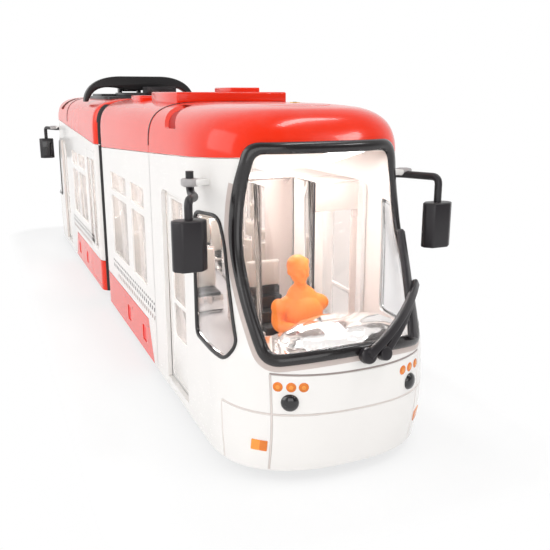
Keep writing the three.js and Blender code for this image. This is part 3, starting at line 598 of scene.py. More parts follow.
LOOKS = {
    "white": plastic("white gloss plastic", (243, 240, 237), 0.22, coat=0.3, shade=0.97),
    "red": plastic("red gloss plastic", (244, 46, 8), 0.2, coat=0.3, shade=0.88, grain=0.12,
                   specular=0.3),
    "lining": plastic("pale inner side", (246, 237, 231), 0.35, shade=0.95),
    # Darker red: painted shade in the roof vents' recesses.
    "recess_shade_red": plastic("red plastic darkened as recess shade", (186, 20, 8), 0.45, shade=0.85, specular=0.15),
    "slot_red": plastic("red plastic in a slot", (250, 30, 10), 0.35),
    "gasket": plastic("black rubbery gasket", (22, 16, 18), 0.26, coat=0.4, shade=0.7, grain=0.12),
    "charcoal": plastic("charcoal satin plastic", (33, 29, 33), 0.36, shade=0.8, grain=0.25),
    "black": plastic("black satin plastic", (24, 22, 24), 0.4, shade=0.75, grain=0.2),
    "wheel": plastic("dark grey wheel plastic", (58, 54, 55), 0.5, shade=0.75, grain=0.3),
    "grey": plastic("light grey plastic", (178, 174, 174), 0.4),
    "beige": plastic("warm grey plastic", (198, 188, 178), 0.4, shade=0.88),
    "orange": plastic("orange figure plastic", (255, 134, 8), 0.5, shade=0.84, grain=0.25,
                      mottle=0.8),
    "chrome": plastic("silvered plastic", (250, 248, 246), 0.13, shade=0.92, grain=0.5, wear_and_highlight=0.0,
                      metallic=0.95, scale=45.0, mottle=0.3),
    "amber": plastic("amber lamp paint", (240, 128, 22), 0.25, coat=0.4, shade=0.75, mottle=1.0,
                     scale=900.0),
    "amber_light": plastic("bright amber paint", (252, 158, 52), 0.25, coat=0.4, shade=0.85,
                           mottle=1.0, scale=900.0),
    "dome": plastic("black lamp dome", (20, 19, 22), 0.12, coat=0.6, shade=0.8),
    "bellows": plastic("bellows rubber", (40, 37, 39), 0.6, shade=0.75, grain=0.4),
    "print": plastic("black print", (38, 34, 34), 0.35, shade=0.8),
    "brown_print": plastic("red brown print", (122, 86, 74), 0.35, shade=0.8),
    # Grey strips in the nose's grooves: painted shade, darker for the line under the windscreen.
    "seam": plastic("shaded seam", (224, 214, 209), 0.5),
    "deep_seam_shade": plastic("deep shaded seam", (158, 145, 141), 0.5),
    # Grey painted shade round the windscreen's gasket.
    "collar": plastic("shaded collar", (204, 190, 184), 0.4),
    # The roofs' inner sides are a dim grey-brown instead of red: painted shade of the ceiling.
    "ceiling": plastic("shaded ceiling", (158, 145, 139), 0.45, shade=0.92),
    "yellow": plastic("yellow paper", (238, 214, 40), 0.5, shade=0.85),
    "screen": clear("clear moulded screen", (253, 252, 252), ior=1.28),
    "panes": clear("clear moulded panes", (250, 243, 239), roughness=0.06, amount=0.82, ior=1.3),
    "milky": clear("milky clear wall", (240, 228, 222), roughness=0.2, amount=0.6, passing=0.8,
                   ior=1.2),
    "thin": clear("thin clear wall", (252, 250, 249), roughness=0.02, ior=1.12),
}


# ---- Putting pieces in place ----
CARS = (("front", 1), ("rear", -1))
SIDES = ((1, "left"), (-1, "right"))


# Faces that look in at the middle of the car get a look of their own, and the joint end within
# its rim is painted black as shade of the gap between the cars.
def line_inside(mesh, look):
    mesh.materials.append(LOOKS[look])
    # Slot 2 is the black bellows rubber, painted on the joint end as shade of the gap between the
    # cars.
    mesh.materials.append(LOOKS["bellows"])
    for face in mesh.polygons:
        here = face.center
        middle = Vector((within(here.x, *LINED_X), 0, within(here.z, *LINED_Z)))
        if face.normal.dot((here - middle).normalized()) < LINED_FACING:
            face.material_index = 1
        elif here.x < JOINT_REACH + WALL and abs(here.y) < SHADED_END_HALF and here.z < SHADED_END_TOP:
            face.material_index = 2


def put(name, shape, look, body, stands_for=(), turn=1, smooth=34, inside=None):
    mesh = mesh_of(name, shape)
    mesh.materials.append(LOOKS[look])
    if inside:
        line_inside(mesh, inside)
    mesh.transform(Matrix.Rotation(0 if turn > 0 else pi, 4, "Z") @ Matrix.Scale(0.001, 4))
    mesh.shade_smooth()
    mesh.set_sharp_from_angle(angle=radians(smooth))
    thing = placed(name, mesh)
    if body:
        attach(thing, body)
    if stands_for:
        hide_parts(*stands_for)
    return thing


# The same piece on both cars, joined first if it is a list. Its names and its body are those of
# the front car without "front_".
def both(name, shape, look, nodes=(), body="car", smooth=34, inside=None):
    shape = joined(*shape) if isinstance(shape, list) else shape
    for car, turn in CARS:
        put(f"{car}_{name}", shape, look, f"{car}_{body}",
            [f"{car}_{node}" for node in nodes], turn, smooth, inside)
    shape.free()


# ---- Body panels ----
# A place on the passenger part's skin: from the left seam round the joint end to the right one.
def passenger_place(share, z):
    if share > 0.5:
        x, y, z = passenger_place(1 - share, z)
        return x, -y, z
    i = share * 48
    half = half_at(z)
    corner = min(END_CORNER, half)
    if i <= 12:
        x = lerp(SEAM_X - FIT / 2, JOINT_REACH + corner, i / 12)
        return x, min(half, face_y(x, z)), z
    if i <= 20:
        a = (i - 12) / 8 * pi / 2
        return JOINT_REACH + corner - corner * sin(a), half - corner + corner * cos(a), z
    return JOINT_REACH, (half - corner) * (1 - (i - 20) / 4), z


# And on the cab's: from the left seam round the nose to the right one.
def cab_place(share, z):
    if share > 0.5:
        x, y, z = cab_place(1 - share, z)
        return x, -y, z
    i = share * 104
    back, run, power = nose_at(z)
    start = NOSE_REACH - back - run
    seam = SEAM_X + FIT / 2
    if i <= 16:
        x = lerp(seam, max(start, seam), i / 16)
        return x, face_y(x, z), z
    a = (i - 16) / 36 * pi / 2
    x = start + run * sin(a) ** (2 / power)
    if x < seam:
        return seam, face_y(seam, z), z
    return x, half_at(z) * cos(a) ** (2 / power), z


# The red roof's edge climbs steadily from the joint to the nose.
def red_edge(x):
    return ROOF_EDGE + (x - SEAM_X) * RED_EDGE_SLOPE


def wall_sheet(place, across, up, high=None):
    def where(u, v):
        top = high or red_edge(place(u, ROOF_EDGE)[0]) - FIT / 2
        return place(u, lerp(BODY_BOTTOM, top, v))
    return outwards(patch(across, up, where))


# Rows rise evenly up to the shoulder, go round it, and then close in evenly on the crown.
def roof_height(low, v):
    foot, bend = 102.5, radians(55)
    rise = CROWN - CANT
    start = asin(((foot - CANT) / rise) ** (SHOULDER_POWER / 2))
    if v < 0.2:
        return lerp(low, foot, v / 0.2)
    if v < 0.6:
        return CANT + rise * sin(lerp(start, bend, (v - 0.2) / 0.4)) ** (2 / SHOULDER_POWER)
    share = cos(bend) ** (2 / SHOULDER_POWER) * (1 - v) / 0.4
    return CANT + rise * (1 - share ** SHOULDER_POWER) ** (1 / SHOULDER_POWER)


def roof_sheet(place, across, up):
    def where(u, v):
        low = red_edge(place(u, ROOF_EDGE)[0]) + FIT / 2
        return place(u, roof_height(low, v))
    return outwards(patch(across, up, where))


TRANSOM, PANE = (71, 80), (37.5, 68)
DOOR_PANE = (28, 81)
WINDOWS = {-1: ((36, 73), (83.5, 110)), 1: ((52, 80), (86, 110))}
DOOR_PANES = ((16.5, 27.5), (31, 42))


def openings(side, grow=0.0):
    spans = [(span, height) for span in WINDOWS[side] for height in (TRANSOM, PANE)]
    if side > 0:
        spans += [(span, DOOR_PANE) for span in DOOR_PANES]
    return [rectangle((a - grow, b + grow), (low - grow, high + grow), 1.6)
            for (a, b), (low, high) in spans]


# All behind and below the skirt's slanting end.
def skirt_area(gap):
    lean = 8 / (SKIRT_TOP - BODY_BOTTOM)
    top = SKIRT_TOP + gap
    ends = [(109 + gap + (SKIRT_TOP - z) * lean, z) for z in (-20, top)]
    return prism("y", [(-60, -20), ends[0], ends[1], (-60, top)], -60, 60)


# A thin round groove along a line on the skin.
def groove(line, radius=0.42, closed=False):
    return sweep(line, round_profile(radius, 6), closed)


# The section of a flat strip, from this far below the skin to this far above it.
def flat_profile(half, low, high):
    return [(-half, low), (half, low), (half, high), (-half, high)]


# Straight from one place on the nose to another, at a height over the skin that may change.
def nose_line(y, z, steps, lift=(0, 0)):
    line = []
    for i in range(steps + 1):
        here, normal = on_nose(lerp(*y, i / steps), lerp(*z, i / steps))
        line.append((here + normal * lerp(*lift, i / steps), normal))
    return line


def side_line(x, z, side, steps=12):
    return [on_side(lerp(*x, i / steps), lerp(*z, i / steps), side) for i in range(steps + 1)]


# A short round rod that stands on the skin.
def stub(here, normal, low, high, radius, count):
    line = [(here + normal * t, Vector((0, 1, 0))) for t in (low, high)]
    return sweep(line, round_profile(radius, count))


def tongue_notch():
    return block((-20, 14), (-9, 9), (-5, 16), edge=0)


DOOR_LINE = [(12, 6.5), (12, 86), (46, 86), (46, 6.5)]


def door_frame(side):
    outline = rounded(DOOR_LINE, 3.5)
    line = [(Vector((x, side * SIDE, z)), Vector((0, side, 0))) for x, z in outline]
    return groove(line, 0.3, closed=True)


def body_walls():
    cuts = [skirt_area(FIT), tongue_notch()]
    for side in (1, -1):
        cuts += [side_prism(outline, side) for outline in openings(side)]
    cuts.append(door_frame(1))
    walls = worked(wall_sheet(passenger_place, 96, 30), wall=WALL, cuts=cuts)
    both("body_walls", walls, "white", ["body_shell"], inside="lining")


SLOTS = (66.5, 99.5)
SKIRT_DOTS = ((74.5, 17.2), (57, 18.6), (107.5, 18.2))


def skirts():
    sheet = wall_sheet(passenger_place, 96, 10, high=SKIRT_TOP)
    cuts, floors, dots = [tongue_notch(), door_frame(1)], [], []
    for side in (1, -1):
        for x in SLOTS:
            cuts.append(side_prism(rectangle((x - 3.4, x + 3.4), (8.8, 16.2), 0.8), side,
                                   SIDE - 0.5))
            floors.append(side_prism(rectangle((x - 3.2, x + 3.2), (9, 16), 0.7), side,
                                     SIDE - 0.6, SIDE - 0.3))
        low, high = side * (SIDE - 0.3), side * (SIDE + 0.05)
        dots += [turned([(low, 0), (low, 0.42), (high, 0.42), (high, 0)], (x, 0, z), steps=10)
                 for x, z in SKIRT_DOTS]
    skin = worked(sheet, wall=WALL, keep=[skirt_area(0)], cuts=cuts)
    both("skirt_panel", skin, "red", ["skirt"], inside="red")
    both("skirt_slots", floors, "slot_red")
    both("skirt_dots", dots, "black")


def body_roof():
    # Its inner side is a dim grey-brown as painted shade.
    both("body_roof_skin", worked(roof_sheet(passenger_place, 96, 40), wall=WALL),
         "red", ["body_roof"], inside="ceiling")


DOORWAY = rectangle((141, 170), (-3, 84), 3.2)
CAB_WINDOW = rounded([(183, 39), (208, 38.2), (212, 43.5), (195.5, 82), (183, 82)], 3)


def seam_lines():
    lines = [nose_line((-26.4, 26.4), (37.6, 37.6), 60)]
    lines += [nose_line((side * 26.3, side * 25.6), (37.4, 4.4), 20) for side in (-1, 1)]
    lines += [side_line((206, 206), (24.6, 4.4), side) for side in (1, -1)]
    lines.append([on_nose(36.2 * sin(lerp(-pi / 2, pi / 2, i / 80)), 24.6) for i in range(81)])
    return lines


# Painted shade in the seam between the passenger part and the cab: a strip, black over the roof, grey
# beside.
def seam_shade_strip():
    heights = [lerp(5, 99, i / 24) for i in range(25)]
    heights += [102 + 13.4 * sin(i * pi / 32) for i in range(1, 16)]
    half = [(half_at(z), z) for z in heights]
    section = half + [(0, CROWN)] + [(-y, z) for y, z in reversed(half)]
    line = []
    for i, (y, z) in enumerate(section):
        before, after = section[max(i - 1, 0)], section[min(i + 1, len(section) - 1)]
        normal = Vector((0, after[1] - before[1], before[0] - after[0])).normalized()
        line.append((Vector((SEAM_X, y, z)), normal))
    over = [spot for spot in line if spot[0].z > ROOF_EDGE - 0.1]
    count = (len(line) - len(over)) // 2
    both("seam_shade_over", sweep(over, flat_profile(0.512, -1.2, 0.2)), "black")
    sides = [sweep(part, flat_profile(0.32, -1.2, 0.03)) for part in (line[:count], line[-count:])]
    both("seam_shade_sides", sides, "grey")


def sticker():
    here, normal = on_roof(160, 10)
    for name, radius, look, low in (("rim", 1.9, "yellow", 0.0), ("dot", 0.7, "black", 0.12)):
        put(f"front_sticker_{name}", stub(here, normal, low, low + 0.14, radius, 28), look,
            "front_car")


def screen_hole():
    return prism("x", screen_outline(1.4), 165, 260)


def cab_walls():
    cuts = [screen_hole()]
    for side in (1, -1):
        cuts += [side_prism(DOORWAY, side), side_prism(CAB_WINDOW, side, 26)]
    cuts += [groove(line) for line in seam_lines()]
    walls = worked(wall_sheet(cab_place, 208, 46), wall=WALL, cuts=cuts)
    both("cab_walls", walls, "white", ["cab_shell"], inside="lining")
    # Grey strips sunk in the grooves: painted shade in the grooves.
    groove_shades = [sweep(line, flat_profile(0.24, -0.6, -0.12)) for line in seam_lines()]
    both("cab_seam_shade_high", groove_shades[0], "deep_seam_shade")
    both("cab_seam_shades", groove_shades[1:], "seam")


VENT = [(147.2, 106.6), (161.2, 107.0), (147.4, 114.6), (134.6, 114.6)]
VENT_FLOOR = [(145.4, 106.2), (162.4, 106.6), (148.4, 114.9), (133.2, 114.9)]
HATCH = [(130, -13), (172, -13), (187, -11), (191, -6), (191.6, 0), (191, 6), (187, 11),
         (172, 13), (130, 13)]


def cab_roof():
    line = [on_roof(x, y) for x, y in resampled(rounded(HATCH, 2), 90)]
    cuts, floors = [screen_hole(), groove(line, 0.28, closed=True)], []
    for side in (1, -1):
        cuts.append(side_prism(rounded(VENT, 1.2), side, 20))
        floors.append(skin_sheet(VENT_FLOOR, -1.3, 14, 16, side))
    skin = worked(roof_sheet(cab_place, 208, 50), wall=WALL, cuts=cuts)
    # Its inner side is a dim grey-brown as painted shade.
    both("cab_roof_skin", skin, "red", ["cab_roof"], inside="ceiling")
    # The vent floors are a darker red as painted shade in the recess.
    both("cab_roof_vents", worked(joined(*floors), wall=0.6), "recess_shade_red")


# A sheet over a surface, filling an outline given in two of its directions.
def sheet_within(outline, where, across, up):
    low, high = min(w for _, w in outline), max(w for _, w in outline)
    gap = (high - low) * 0.004

    def span(w):
        hits = []
        for (u0, w0), (u1, w1) in zip(outline, outline[1:] + outline[:1]):
            if (w0 - w) * (w1 - w) <= 0 and w0 != w1:
                hits.append(lerp(u0, u1, (w - w0) / (w1 - w0)))
        return min(hits), max(hits)

    def spot(u, v):
        w = lerp(low + gap, high - gap, 0.5 - 0.5 * cos(pi * v))
        left, right = span(w)
        return where(lerp(left, right, u), w)
    return patch(across, up, spot)


# Such a sheet on the skin of the nose, or of one side, raised by a height.
def skin_sheet(outline, lift, across, up, side=0):
    def where(u, w):
        here, normal = on_side(u, w, side) if side else on_nose(u, w)
        return here + normal * lift
    return outwards(sheet_within(outline, where, across, up))


# ---- Glazing ----
# A seal on the nose between two outlines, its profile in (share inwards, height) pairs.
def seal_ring(outer, inner, profile, count):
    outer, inner = resampled(outer, count), resampled(inner, count)

    def where(u, v):
        i = round(u * count) % count
        share, height = profile[round(v * len(profile)) % len(profile)]
        here, normal = on_nose(*[lerp(outer[i][k], inner[i][k], share) for k in (0, 1)])
        return here + normal * height
    return faced(patch(count, len(profile), where))


# A flat grey strip beside and below the windscreen's gasket: painted shade, as of a recess round the
# gasket.
def screen_collar_shade():
    outline = resampled(screen_outline(-0.7), 240)
    start = max(range(240), key=lambda i: outline[i][1])
    turned_round = outline[start:] + outline[:start]
    line = [on_nose(y, z) for y, z in turned_round if z < ROOF_EDGE - 3]
    both("screen_collar_shade", sweep(line, flat_profile(0.85, -0.5, 0.05)), "collar")


# Share of the way inwards, and height.
GASKET_PROFILE = [(0, -0.5), (0, 0.3), (0.07, 0.85), (0.26, 1.2), (0.5, 1.3), (0.74, 1.15),
                  (0.9, 0.75), (0.98, 0.25), (1, -0.5), (0.5, -0.7)]


def windscreen():
    sheet = skin_sheet(screen_outline(1.9), -0.2, 56, 56)
    both("screen_glass", worked(sheet, wall=1.1), "screen", ["windscreen"])
    both("screen_gasket", seal_ring(screen_outline(0), screen_outline(3.4), GASKET_PROFILE, 240),
         "gasket", ["windscreen_gasket"], smooth=50)


CAB_PANE = [(184.2, 40.2), (207.4, 39.4), (210.8, 43.8), (194.6, 80.8), (184.2, 80.8)]
CAB_SEAL = [(183.3, 39.3), (208, 38.6), (211.5, 43.6), (195.2, 81.8), (183.3, 81.8)]
SEAL_PROFILE = [(0.6, -0.5), (0.6, 0.25), (0.3, 0.55), (-0.3, 0.55), (-0.6, 0.25), (-0.6, -0.5)]


def cab_windows():
    for side, word in SIDES:
        sheet = skin_sheet(rounded(CAB_PANE, 2.5), -0.3, 24, 32, side)
        both(f"cab_pane_{word}", worked(sheet, wall=0.9), "screen",
             [f"cab_window_{word}"])
        line = [on_side(x, z, side) for x, z in resampled(rounded(CAB_SEAL, 3), 120)]
        both(f"cab_window_seal_{word}", sweep(line, SEAL_PROFILE, closed=True), "gasket",
             smooth=50)


def side_windows():
    for side, word in SIDES:
        panes = [softened(side_prism(outline, side, SIDE - WALL - 1.2, SIDE - 0.5), 0.25)
                 for outline in openings(side, -0.25)]
        both(f"panes_{word}", panes, "panes", [f"windows_{word}"])


def doors():
    outer = SIDE - WALL - FIT
    for side, word in SIDES:
        def plate(x, z, corner, *depth):
            return side_prism(rectangle(x, z, corner), side, *depth)
        door = f"cab_door_{word}"
        cuts = [plate((147.5, 166), span, 1) for span in ((27, 40.3), (41.7, 81))]
        leaf = worked(plate((139, 172), (6.3, 86), 3, outer - 1.6, outer), cuts=cuts)
        both(f"door_leaf_{word}", softened(leaf, 0.18), "white", [door], body=door)
        rib = worked(plate((142.3, 168.7), (9, 83.2), 2.5, outer - 0.5, outer + 0.25),
                     cuts=[plate((143.1, 167.9), (9.8, 82.4), 2.2)])
        both(f"door_rib_{word}", softened(rib, 0.1), "white", body=door)
        panes = [softened(plate((147.7, 165.8), span, 0.9, outer - 1.2, outer - 0.4), 0.15)
                 for span in ((27.2, 40.1), (41.9, 80.8))]
        sill = plate((141.2, 169.8), (4.1, 7.6), 0.2, 35.22, 36.9)
        both(f"door_sill_{word}", sill, "white")
        both(f"door_panes_{word}", panes, "panes", body=door)


# ---- Lamps and print ----
def dome_on_nose(y, z, radius, rise, sides=28):
    here, normal = on_nose(y, z)
    across = Vector((0, 1, 0)).cross(normal).normalized()
    up = normal.cross(across)

    def where(u, v):
        a, r = 2 * pi * u, radius * sin(v * pi / 2)
        edge = rise * cos(v * pi / 2)
        flat = here + across * r * cos(a) + up * r * sin(a)
        sink = flat.x - face_x(flat.y, flat.z)
        return flat + normal * edge - Vector((sink, 0, 0))
    return outwards(patch(sides, 8, where))


def lamps():
    spots, cores, domes, halves = [], [], [], {"amber": [], "amber_light": []}
    for side in (1, -1):
        for y in (24.4, 20.9, 17.4):
            spots.append(dome_on_nose(side * y, 33.8, 1.55, 0.26))
            cores.append(dome_on_nose(side * y, 33.8, 0.85, 0.38))
        domes.append(dome_on_nose(side * 21.2, 28.8, 2.8, 1.5))
        for look, near, far in (("amber_light", 28.6, 30.6), ("amber", 26.7, 28.6)):
            outline = rectangle((side * near, side * far), (11.4, 15.2), 0.15)
            halves[look].append(worked(skin_sheet(outline, 0.22, 6, 6), wall=0.5))
    both("marker_lamps", spots, "amber")
    both("marker_cores", cores, "amber_light")
    both("head_lamps", domes, "dome")
    for look, pieces in halves.items():
        both(f"indicator_{look}", pieces, look)


# Each row's look, height, half the height and the length of a tick, and where the row ends.
TICK_ROWS = (("print", 32.6, 0.55, 1.5, 30), ("print", 29.8, 0.95, 1.3, 30),
             ("brown_print", 26.2, 1.0, 1.2, 40))


def ticks():
    marks = {"print": [], "brown_print": []}
    for side in (1, -1):
        for look, z, half, width, end in TICK_ROWS:
            x, lean = 120.2, half * 0.8
            while x > end:
                outline = [(x, z - half), (x + width, z - half), (x + width + lean, z + half),
                           (x + lean, z + half)]
                marks[look].append(side_prism(outline, side, SIDE - 0.3, SIDE + 0.04))
                x -= 3.7
    for look, pieces in marks.items():
        both(f"tick_{look}", pieces, look)


# ---- Outside fittings ----
MIRROR_ARMS = {
    -1: [(189, -39.6, 95.4), (189, -39.6, 88.6), (196.5, -40.2, 88.2), (203.4, -44.5, 88.6),
         (203.4, -44.5, 81)],
    1: [(187, 35.5, 91), (189, 38.6, 91), (203.4, 44.5, 91.2), (203.4, 44.5, 81)],
}
LUG_PROFILE = [(-1.4, 2.0), (-1.4, 2.6), (-1.0, 3.0), (0.7, 3.0), (1.1, 2.6), (1.1, 2.0)]


def mirrors():
    for side, word in SIDES:
        arm = tube(MIRROR_ARMS[side], 1.3, bend=2.6, count=14)
        outline = [(x, side * y) for x, y in ((200.2, 39.1), (206.7, 39.1), (206.7, 49.9),
                                              (200.2, 49.9))]
        housing = softened(prism("z", rounded(outline, 2.3, 1), 67.0, 82.6), 0.55, 3, angle=30)
        glass = softened(block((199.95, 200.35), (side * 41, side * 48), (69, 80.6), edge=0), 0.12)
        both(f"mirror_arm_{word}", [arm, housing], "charcoal", [f"mirror_{word}"])
        both(f"mirror_face_{word}", glass, "dome")
        lug = turned(LUG_PROFILE, (189, side * 39.6, 92), axis="z", steps=6)
        bmesh.ops.holes_fill(lug, edges=[e for e in lug.edges if e.is_boundary])
        root = block((186.6, 191.4), (side * 33.6, side * 38.4), (90.9, 92.9), edge=0.5)
        both(f"mirror_lug_{word}", softened(lug, 0.3), "grey")
        both(f"mirror_root_{word}", root, "white")


def bar_profile(width, height):
    w, h, c = width / 2, height / 2, min(width, height) * 0.22
    return [(w, -h + c), (w, h - c), (w - c, h), (c - w, h), (-w, h - c), (-w, c - h), (c - w, -h),
            (w - c, -h)]


# The two arms and the blade: across, up, height over the nose, width and thickness, and steps.
WIPER_BARS = (
    ((1.9, 26.5), (42, 57.4), (3.0, 3.4), (3.0, 2.0), 10),
    ((7.7, 26.5), (41.6, 57.4), (2.6, 3.2), (2.4, 1.8), 10),
    ((26.2, 20.8), (74, 42.6), (2.0, 2.0), (3.6, 2.2), 16),
)


def wipers():
    parts = [softened(stub(*on_nose(y, z), 0.6, 3.6, radius, 20), 0.5, 3)
             for y, z, radius in ((1.9, 42, 2.6), (7.7, 41.6, 2.2))]
    for y, z, lift, size, steps in WIPER_BARS:
        parts.append(softened(sweep(nose_line(y, z, steps, lift), bar_profile(*size)), 0.2))
    both("wiper_arms", parts, "charcoal", ["wiper"])


# ---- Inside ----
SEAT_ROWS = (28, 50, 72, 94, 116)
ON_FLOOR = 27.5
SCREEN_TOP = 88


# Blocks with like edges, each given by what it spans in x, y and z.
def blocks(edge, *spans):
    return [block(*span, edge) for span in spans]


def seats():
    pads, shells, backs = [], [], []
    for side in (1, -1):
        y, inner = (side * 9, side * 31), (side * 10, side * 30)
        shells.append(block((28, 128), y, (ON_FLOOR, ON_FLOOR + 1.6), 0.3))
        for x in SEAT_ROWS:
            shells.append(block((x, x + 12), y, (ON_FLOOR, ON_FLOOR + 7.6), 0.6))
            shells.append(block((x, x + 1.0), y, (ON_FLOOR, ON_FLOOR + 27), 0.4))
            pads.append(block((x + 1.2, x + 11.8), inner, (ON_FLOOR + 7.4, ON_FLOOR + 9), 0.7, 3))
            backs.append(block((x + 0.9, x + 2.4), inner, (ON_FLOOR + 9, ON_FLOOR + 26), 0.6, 3))
    both("seat_shells", shells, "chrome", ["seats"])
    both("seat_pads", pads, "black")
    both("seat_backs", backs, "beige")


def screen_box():
    left, right, wide = (9.8, 11), (-11, -9.8), (11.2, 29)
    high, top = (ON_FLOOR, SCREEN_TOP), (SCREEN_TOP - 0.8, SCREEN_TOP)
    walls = blocks(0.3, ((158, 159.2), (-11, 11), high), ((159.2, 176), left, high),
                   ((159.2, 176), right, high))
    both("cab_screen_walls", walls, "thin", ["cab_screen"], smooth=30)
    beside = blocks(0.3, ((131, 158), left, high), ((139, 158), right, high))
    beside += blocks(0.2, ((139, 158), (-9.8, 9.8), top), ((131, 176), wide, top),
                     ((175, 176), wide, (SCREEN_TOP - 11, SCREEN_TOP - 1)),
                     ((175, 176), (26.5, 29), (ON_FLOOR, SCREEN_TOP - 11)))
    both("cab_screen_frame", beside, "milky", smooth=30)
    seam = block((176, 176.5), (10.2, 10.9), high, 0.1)
    both("cab_screen_seam", seam, "charcoal", smooth=30)


# The seat behind the driver, stepping down towards the desk. Each step has a start, end and top.
def driver_seat():
    y = (-9.4, 3)
    steps = ((162.4, 166, 44), (166, 171.5, 39.5), (171.5, 177.5, 35.5), (177.5, 183.6, 32))
    dark = [block((160, 162.4), y, (ON_FLOOR, 47), 0.4)]
    dark += [block((start, end), (y[0] + 0.5, y[1] - 0.5), (ON_FLOOR, top), 0.4)
             for start, end, top in steps]
    silver = [block((start, end - 0.6), y, (top - 3, top - 1.8), 0.2) for start, end, top in steps]
    both("driver_seat_steps", dark, "black")
    both("driver_seat_trim", silver, "chrome")
    both("driver_seat_head", block((160, 162.4), y, (47.3, 57), 0.7, 3), "beige")


def desk():
    def where(u, v):
        y = lerp(-27, 27, u)
        edge = face_x(y, 43) - WALL - 0.6
        x = lerp(203, edge, v)
        dome = max(0.0, 1 - ((x - 212) / 12.5) ** 2 - ((y - 3.5) / 21) ** 2) ** 0.5
        ripple = 0.3 * sin(y * 0.9 + x * 0.35) * (1 - dome)
        return x, y, 42.6 + 6.6 * dome + ripple

    def front(u, v):
        y = lerp(-27, 27, u)
        return 203, y, lerp(ON_FLOOR, where(u, 0)[2], v)
    sheets = (outwards(patch(72, 36, where), (210, 0, 0)),
              outwards(patch(72, 8, front), (230, 0, 35)))
    both("desk_top", [worked(sheet, wall=0.8) for sheet in sheets], "chrome",
         ["desk"], smooth=60)


# Balls of the figure: how far in front of its middle, how high or how far over the head's middle,
# and their sizes.
BODY_BALLS = ((0, 42, (4.6, 7.8, 13)), (0, 46.8, (4.2, 10.4, 4.6)), (1.6, 44, (4.4, 7.2, 7)))
HEAD_BALLS = (
    (0.6, 0.3, (4.0, 3.5, 4.6)), (1.2, -2.0, (3.2, 2.7, 2.9)), (-0.4, 1.5, (4.1, 3.85, 3.9)),
    (4.5, -0.4, (0.9, 0.6, 1.2)), (3.7, 1.1, (0.9, 2.3, 0.5)), (3.7, -2.3, (0.75, 1.1, 0.4)),
    (3.2, -3.6, (1.1, 1.3, 0.9)),
)


def driver():
    x, head, shoulder = 189, 59.6, 51.5
    parts = [ball((x + out, 0, z), size) for out, z, size in BODY_BALLS]
    parts += [block((x - 5, x + 4), (-5.5, 5.5), (ON_FLOOR, ON_FLOOR + 8), 0.8),
              tube([(x + 0.2, 0, shoulder - 3), (x + 0.6, 0, head)], 2.2)]
    parts += [ball((x + out, 0, head + up), size) for out, up, size in HEAD_BALLS]
    for side in (1, -1):
        parts += [
            ball((x + 0.3, side * 3.6, head - 0.2), (0.9, 0.6, 1.3)),
            ball((x + 2.9, side * 1.7, head - 1.1), (1.3, 1.1, 1.2)),
            tube([(x + 1.6, side * 2.2, shoulder - 0.6), (x + 3.6, side * 1.8, shoulder - 3),
                  (x + 4.6, side * 0.5, shoulder - 6.4)], 0.6, bend=2)]
        for i in range(4):
            fold = (x + 4.2, side * (2.2 + 1.5 * i), shoulder - 6.2 - 1.3 * i)
            parts.append(tube([fold, (x + 5.4, side * (1.4 + 0.9 * i), fold[2] - 4.2)], 0.4))
    for i in range(9):
        a = radians(-80 + 20 * i)
        place = (x - 0.2 + 2.2 * cos(a) * 0.6, 3.2 * sin(a), head + 3.9 - abs(sin(a)) * 1.2)
        parts.append(ball(place, (1.7, 0.75, 1.2)))
    # The right arm with its hand and shoulder, and one edge of the coat. There is no left arm.
    parts += [
        tube([(x, -9, shoulder - 4), (x + 1, -10.2, shoulder - 11), (x + 9, -6, shoulder - 10.5)],
             2.2, bend=3),
        ball((x + 9.6, -5.4, shoulder - 10.4), (1.7, 1.9, 1.6)),
        ball((x + 0.4, -9.2, shoulder - 4.6), (3.0, 2.6, 3.2)),
        tube([(x + 3.4, -1, shoulder - 3.0), (x + 5.6, -3.6, shoulder - 12)], 0.55, bend=1)]
    shape = joined(*parts)
    for vert in shape.verts:
        vert.co.y -= 1.7 * within((vert.co.z - 50) / 6, 0.0, 1.0)
    figure = worked(shape, remesh=0.32, smooth=2)
    put("front_driver_figure", figure, "orange", "front_car",
        ["front_driver"], smooth=180)


# ---- Roof gear ----
ROOF_DECK = 114.4


def roof_gear():
    box = [block((78, 121), (-24, 24), (ROOF_DECK, 119.3), 0.7, 3),
           block((86, 108), (3.5, 17), (118.9, 121.2), 0.5, 3)]
    put("front_box_cover", joined(*box), "red", "front_car", ["front_roof_box"])
    low_box = block((34, 55), (-24, 24), (ROOF_DECK, 117.6), 0.6, 3)
    put("front_block_cover", low_box, "red", "front_car", ["front_roof_block"])


